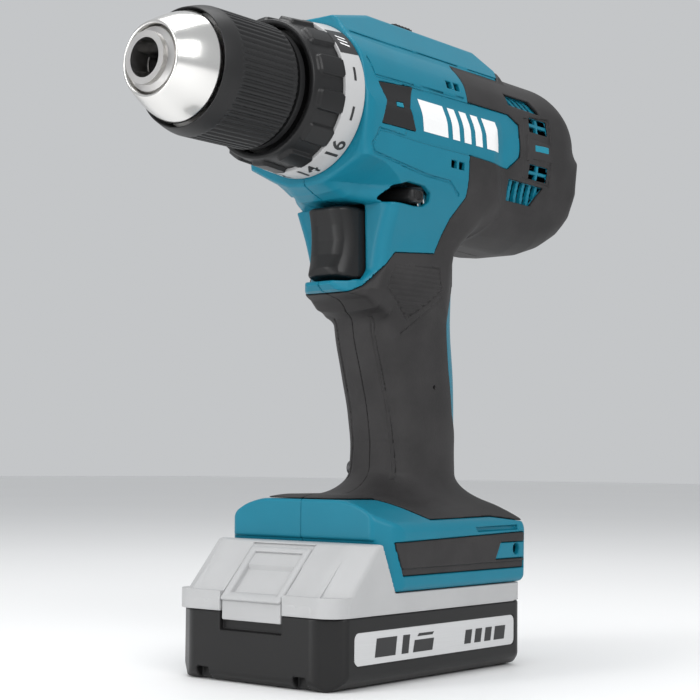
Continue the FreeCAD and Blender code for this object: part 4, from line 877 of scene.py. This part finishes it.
def number_mark(text, angle):
    """A number printed on the scale ring, read along its turn."""
    curve = bpy.data.curves.new("number_" + text, "FONT")
    curve.body, curve.size, curve.offset = text, 8.6, 0.16
    curve.align_x, curve.align_y, curve.resolution_u = "CENTER", "CENTER", 3
    holder = bpy.data.objects.new("number_" + text, curve)
    mesh = bpy.data.meshes.new_from_object(holder)
    flat = np.array([(v.co.x, v.co.y) for v in mesh.vertices])
    flat[:, 1] -= (flat[:, 1].max() + flat[:, 1].min()) / 2
    faces = [tuple(face.vertices) for face in mesh.polygons]
    bpy.data.objects.remove(holder)
    bpy.data.curves.remove(curve)
    bpy.data.meshes.remove(mesh)
    ring_mark(f"number_{text}", flat, faces, angle, DARK_INK)


def torque_ring():
    """The gripped ring with its raised pads, and the scale behind it."""
    pads, reach = 13, 24.6

    def pad_relief(x, r, angle):
        pitch = 2 * math.pi / pads
        across = np.abs((angle / pitch) % 1 - 0.5) * pitch * reach - 3.4
        along = np.abs(x - (SCALE_X + 5.6)) - 5.9
        radius = 1.5
        gap = np.hypot(np.maximum(across + radius, 0), np.maximum(along + radius, 0)) - radius
        height = np.clip(0.5 - gap / 0.7, 0, 1)
        height = height * height * (3 - 2 * height)
        return np.where(r > 23.4, 1.35 * height, 0)

    grip = rounded_section([(SCALE_X + 0.1, 22.7, 0), (RING_X, 22.7, 0), (RING_X, 24.5, 0.5),
                            (RING_X - 2.2, 25.2, 0.8), (SCALE_X + 0.6, 26.1, 0), (SCALE_X + 0.1, 26.3, 0)], 4)
    grip = stretch(grip, SCALE_X, RING_X - 1.2, 0.35)
    piece = turned("torque_grip_ring", grip, "torque_ring", BLACK, pads * 52, pad_relief)
    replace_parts(piece, "torque_grip")
    rear_r, front_r = SCALE_SECTION_R
    scale = rounded_section([(SCALE_REAR, 22.7, 0), (SCALE_X, 22.7, 0), (SCALE_X, front_r, 0.3),
                             (SCALE_REAR, rear_r, 0.3)], 4)
    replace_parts(turned("scale_band", scale, "torque_ring", SCALE_GREY, 192), "scale_ring")
    for k, text in enumerate(("16", "14", "12", "10", "8", "6", "4", "2")):
        number_mark(text, 312.0 - SCALE_STEP * k)
    for k, angle in enumerate((341.5, 10.5)):
        bar_mark(f"scale_dash_{k}", 5.0, 1.15, angle, DARK_INK)
    bar_mark("drilling_field", 12.2, 9.0, 39.3, DARK_INK)
    for k, shift in enumerate((-1.9, 0.0, 1.9)):
        bar_mark(f"drilling_stroke_{k}", 0.75, 4.2, 39.3, WHITE_INK, 0.11, (shift, 0.0), 0.55)


# ------------------------------------------------------------------ controls
def controls():
    """Trigger, reversing lever and speed selector."""
    side = [(25.4, 168.0), (24.0, 163.0), (23.2, 157.0), (24.0, 151.5), (26.2, 146.6), (25.6, 145.0),
            (20.0, 144.2), (5.2, 144.4), (5.2, 167.6), (20.0, 168.2)]

    def trigger_field(x, y, z):
        shape = outline(x, z, side) - 1.2
        flank = np.abs(y) - 10.3 + 0.25 * np.clip(x - 18, 0, 9)
        facet = (x - 24.9) * 0.80 + (np.abs(y) - 5.8) * 0.60 - 0.011 * (z - 157) ** 2
        return corner(corner(shape, flank, 1.4), facet, 1.8)

    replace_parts(carved("trigger_shoe", trigger_field, ((3, 29), (-12, 12), (141, 171)), "trigger",
                       BLACK, FINE * 0.8), "trigger")
    x0, x1 = low("reverse_lever")[0], high("reverse_lever")[0]
    z0, z1, reach = low("reverse_lever")[2], high("reverse_lever")[2], high("reverse_lever")[1]
    pivot = x0 + 5.0

    def lever_field(x, y, z):
        bar = block(x, y, z, ((x1 - 8.0, x1), (-reach, reach), (z0, z1)), 1.9)
        dish = np.hypot(x - x1 + 4.0, (z - (z0 + z1) / 2) * 1.3) - 2.1
        bar = take(bar, np.maximum(dish, reach - 0.55 - np.abs(y)), 0.25)
        stem = block(x, y, z, ((pivot, x1 - 6), (-4, 4), (z0, z1)), 0.5)
        eye = np.maximum(np.hypot(x - pivot, y) - 5.0, slab(z, z0, z1))
        return np.maximum(np.minimum(np.minimum(bar, stem), eye), 2.06 - np.hypot(x - pivot, y))

    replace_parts(carved("reversing_lever", lever_field, ((x0, x1), (-reach, reach), (z0, z1)), "reverse_lever",
                       BLACK, FINE * 0.8), "reverse_lever")
    (kx0, ky0, kz0), (kx1, ky1, kz1) = low("speed_knob"), high("speed_knob")

    def knob_field(x, y, z):
        top = block(x, y, z, ((kx0 + 3.5, kx0 + 15.5), (-6, 6), (kz0 + 0.5, kz1)), 0.8)
        ribs = np.abs(((x - kx0 - 3.5) / 2.0) % 1 - 0.5) * 2.0 - 0.45
        top = take(top, np.maximum(ribs, kz1 - 0.8 - z), 0.2)
        return np.minimum(top, block(x, y, z, ((kx0, kx1), (ky0, ky1), (kz0, kz0 + 1.4)), 0.2))

    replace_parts(carved("selector_knob", knob_field, ((kx0, kx1), (-6, 6), (kz0, kz1)), "speed_selector",
                       BLACK, FINE * 0.8), "speed_knob")


# ------------------------------------------------------------------ battery
NOSE_Y = 28.5
# the printed bars on the label, as X, width, Z and height
LABEL_BARS = [(30.0, 11.5, 10.2, 6.4), (22.6, 4.0, 10.2, 6.4), (8.5, 11.5, 10.2, 4.2), (8.5, 9.0, 15.6, 1.0),
              (-37.0, 7.0, 10.6, 5.0), (-28.0, 4.2, 10.6, 5.0), (-21.6, 4.2, 10.6, 5.0),
              (-15.2, 4.2, 10.6, 5.0)]


def case_plan(x, y):
    """The battery's plan: chamfered at the front corners, rounded at the rear."""
    away = np.abs(y)
    ends = corner(BATTERY_REAR - x, away - BATTERY_HALF, 5.0)
    chamfer = (x - BATTERY_FRONT) * 0.811 + (away - NOSE_Y) * 0.585
    return corner(corner(ends, x - BATTERY_FRONT, 1.0), chamfer, 1.3)


def nose_slope(x, z):
    """The battery's sloping front."""
    return (x - BATTERY_FRONT) * 0.7254 + (z - 29.0) * 0.6882


def lower_case(x, y, z):
    """The dark tray: its label pockets, front feet and the notch under the catch."""
    away = np.abs(y)
    plan = case_plan(x, y)
    shape = corner(plan, slab(z, 0.0, BATTERY_SPLIT - 0.12), 0.5)
    shape = corner(shape, (away - BATTERY_HALF + 4.6) * 0.64 - z * 0.768, 1.2)
    shape = corner(shape, (x - BATTERY_FRONT + 2.6) * 0.707 - z * 0.707, 0.8)
    notch = block(x, away, z, ((59.6, 66), (19.4, 25.2), (-3, 4.3)), 0.6)
    button = block(x, away, z, ((61.0, 70), (-5, 14.3), (17.7, 40)), 0.4)
    pocket = np.maximum(block(x, BATTERY_HALF, z, ((-44, 52.5), (0, 60), (7.8, 19.3)), 2.5),
                        BATTERY_HALF - 0.35 - away)
    inside = np.maximum(np.maximum(plan + 2.2, x - 57.5), slab(z, 2.2, 40))
    shape = take(shape, np.minimum(notch, button), 0.3)
    return np.maximum(take(shape, pocket, 0.15), -inside)


def upper_case(x, y, z):
    """The light grey deck and sloping nose, open for the catch."""
    away = np.abs(y)
    plan = case_plan(x, y) - 0.12
    deck = np.maximum(plan, slab(z, BATTERY_SPLIT + 0.12, 31.1))
    raised = np.maximum(slab(z, BATTERY_SPLIT + 0.12, 48.4), (30.0 - x) * 0.917 + (z - 31.0) * 0.40)
    raised = np.maximum(raised, plan)
    both = np.minimum(deck, raised)
    shape = corner(both, nose_slope(x, z), 1.2)
    facet = (x - BATTERY_FRONT) * 0.653 + (away - NOSE_Y) * 0.472 + (z - 29.0) * 0.591
    shape = corner(shape, facet, 1.4)
    shape = corner(shape, z - 48.2, 0.8)
    window = np.maximum(np.maximum(away - 14.2, z - 47.0), -(nose_slope(x, z) + 6.0))
    inside = np.maximum(np.maximum(plan + 2.2, nose_slope(x, z) + 8.0), slab(z, 20, 28.8))
    dimple = np.maximum(block(x, away, z, ((55, 70), (20.3, 21.3), (27.0, 29.6)), 0.4),
                        -(nose_slope(x, z) + 1.2))
    tower_gap = block(x, away, z, ((-60, 27.5), (34, 60), (31.2, 60)), 0.1)
    shape = take(shape, window, 0.5)
    return take(np.maximum(np.maximum(shape, -inside), -tower_gap), dimple, 0.2)


def release_button(x, y, z):
    """The catch: a dished push face and the lip that hangs over the tray."""
    away = np.abs(y)
    slope = nose_slope(x, z)
    body = np.maximum(np.maximum(away - 13.9, 26.4 - z), np.maximum(-(slope + 5.0), z - 46.7))
    shape = corner(body, slope - 0.5, 1.1)
    shape = corner(corner(shape, z - 46.2, 0.8), 27.2 - z + (x - 60.0) * 0.25, 1.0)
    panel = np.maximum(np.maximum(away - 10.9, slab(z, 30.6, 44.0)), -(slope + 1.6))
    shape = take(shape, panel, 1.2)
    lip = block(x, away, z, ((61.35, 62.65), (-5, 13.6), (21.2, 29.0)), 0.3)
    return np.minimum(shape, lip)


def upright_screw(x, y, head_low, head_high, top):
    """A screw standing head down, as rings of points and their faces."""
    steps = np.linspace(0, 2 * math.pi, 24, endpoint=False)
    section = [(0.9, head_low + 0.9), (1.2, head_low), (2.5, head_low), (2.75, head_low + 0.3),
               (2.75, head_high), (1.35, head_high + 0.2), (1.35, top - 1.5), (0.4, top)]
    rings = [[(x + r * math.cos(a), y + r * math.sin(a), z) for a in steps] for r, z in section]
    count = len(steps)
    faces = [(row * count + k, row * count + (k + 1) % count, (row + 1) * count + (k + 1) % count,
              (row + 1) * count + k) for row in range(len(section) - 1) for k in range(count)]
    faces += [tuple(reversed(range(count))), tuple(range(len(section) * count - count, len(section) * count))]
    return [point for ring in rings for point in ring], faces


SCREW_EDGE = 2.8
FRONT_SCREW_INSET = (6.5, 4.6)


def case_screws():
    """The four screws that close the battery's case from below, the front pair inside its slanted corners."""
    (x0, y0, z0), (x1, y1, z1) = low("battery_case_screws"), high("battery_case_screws")
    points, faces = [], []
    inset_x, inset_y = FRONT_SCREW_INSET
    for x, y in ((x0 + SCREW_EDGE, y0 + SCREW_EDGE), (x0 + SCREW_EDGE, y1 - SCREW_EDGE),
                 (x1 - inset_x, y0 + inset_y), (x1 - inset_x, y1 - inset_y)):
        more, sides = upright_screw(x, y, z0, z0 + 1.8, z1)
        faces += [tuple(k + len(points) for k in side) for side in sides]
        points += more
    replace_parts(new_piece("case_screw_set", points, faces, "battery", DARK_STEEL, smooth=False),
                "battery_case_screws")


def battery():
    """The battery's two mouldings, its catch and its labels."""
    case_screws()
    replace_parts(carved("battery_lower_moulding", lower_case,
                       ((BATTERY_REAR, BATTERY_FRONT), (-BATTERY_HALF, BATTERY_HALF), (0, BATTERY_SPLIT)),
                       "battery", CASE_BLACK, FINE * 1.25), "battery_case_lower")
    surface = carve(upper_case, ((BATTERY_REAR, BATTERY_FRONT), (-BATTERY_HALF, BATTERY_HALF),
                                 (BATTERY_SPLIT, 48.5)), FINE * 1.25)
    place_surface("battery_upper_moulding", surface, "battery", GREY)
    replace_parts(carved("release_catch", release_button, ((48, 63), (-14, 14), (21, 47)), "battery_button",
                       GREY, FINE * 0.8), "battery_button")

    def label_field(x, y, z):
        face = block(x, BATTERY_HALF, z, ((-43.8, 52.3), (0, 60), (8.0, 19.1)), 2.4)
        return np.maximum(face, slab(y, BATTERY_HALF - 0.3, BATTERY_HALF + 0.05))

    surface = carve(label_field, ((-44, 53), (36.8, 38), (7, 20)), 0.3)
    left = place_surface("battery_label_left", surface, "battery", FOIL)
    place_surface("battery_label_right", mirrored(surface), "battery", FOIL)
    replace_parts(left, "battery_labels")
    lift = BATTERY_HALF + 0.09
    for k, (x, width, z, tall) in enumerate(LABEL_BARS):
        bar = [(x, z), (x + width, z), (x + width - 1.0, z + tall), (x - 1.0, z + tall)]
        flank_patch(f"label_bar_{k}", bar, "battery", DARK_INK, 1, 2, lift)


housing()
flank_trim()
chuck()
torque_ring()
controls()
battery()


# ------------------------------------------------------------------ floor, light and camera
def area_light(name, place, target, size_m, power):
    """A soft box aimed at a target."""
    light = bpy.data.lights.new(name, "AREA")
    light.shape = "RECTANGLE"
    light.size, light.size_y = size_m
    light.energy = power
    lamp = bpy.data.objects.new(name, light)
    bpy.context.scene.collection.objects.link(lamp)
    lamp.location = place
    aim = Vector(target) - Vector(place)
    lamp.rotation_euler = aim.to_track_quat("-Z", "Y").to_euler()
    return lamp


def studio():
    """A pale floor, an even white room and three soft boxes."""
    world = bpy.data.worlds.new("white_room")
    bpy.context.scene.world = world
    world.use_nodes = True
    world.node_tree.nodes["Background"].inputs["Color"].default_value = (0.92, 0.94, 0.96, 1)
    world.node_tree.nodes["Background"].inputs["Strength"].default_value = 0.6
    floor_finish = Finish("pale_floor")
    haze = floor_finish.noise(3.0, 2.0)
    floor_finish.close(Base_Color=floor_finish.mix(haze, (0.86, 0.86, 0.86, 1), (0.89, 0.89, 0.89, 1)),
                       Roughness=0.55)
    mesh = bpy.data.meshes.new("floor")
    reach = 6.0
    mesh.from_pydata([(-reach, -reach, 0), (reach, -reach, 0), (reach, reach, 0), (-reach, reach, 0)], [],
                     [(0, 1, 2, 3)])
    mesh.materials.append(floor_finish.material)
    floor = bpy.data.objects.new("floor", mesh)
    floor.location.z = -0.0003
    bpy.context.scene.collection.objects.link(floor)
    lamps = [area_light("key_soft_box", (0.55, 0.95, 0.75), (0, 0, 0.15), (0.7, 0.7), 8.5),
             area_light("top_soft_box", (0.05, -0.1, 1.1), (0, 0, 0.15), (0.9, 0.6), 6),
             area_light("front_strip", (1.0, -0.35, 0.35), (0.05, 0, 0.18), (0.25, 0.9), 5)]


def three_quarter_camera():
    """The camera's place, from the object's own lines."""
    lens = bpy.data.cameras.new("camera")
    lens.lens, lens.sensor_width = 82.76, 36.0
    lens.shift_x, lens.shift_y = 0.0023, 0.0050
    lens.dof.use_dof = False
    camera = bpy.data.objects.new("camera", lens)
    bpy.context.scene.collection.objects.link(camera)
    camera.location = (0.4739, 0.3759, 0.0755)
    yaw, pitch, roll = math.radians(219.06), math.radians(3.92), math.radians(0.48)
    ahead = Vector((math.cos(yaw) * math.cos(pitch), math.sin(yaw) * math.cos(pitch), math.sin(pitch)))
    turn = ahead.to_track_quat("-Z", "Y")
    camera.rotation_euler = (turn @ Quaternion((0, 0, 1), roll)).to_euler()
    bpy.context.scene.camera = camera


studio()
three_quarter_camera()
bpy.context.scene.view_settings.view_transform = "Standard"
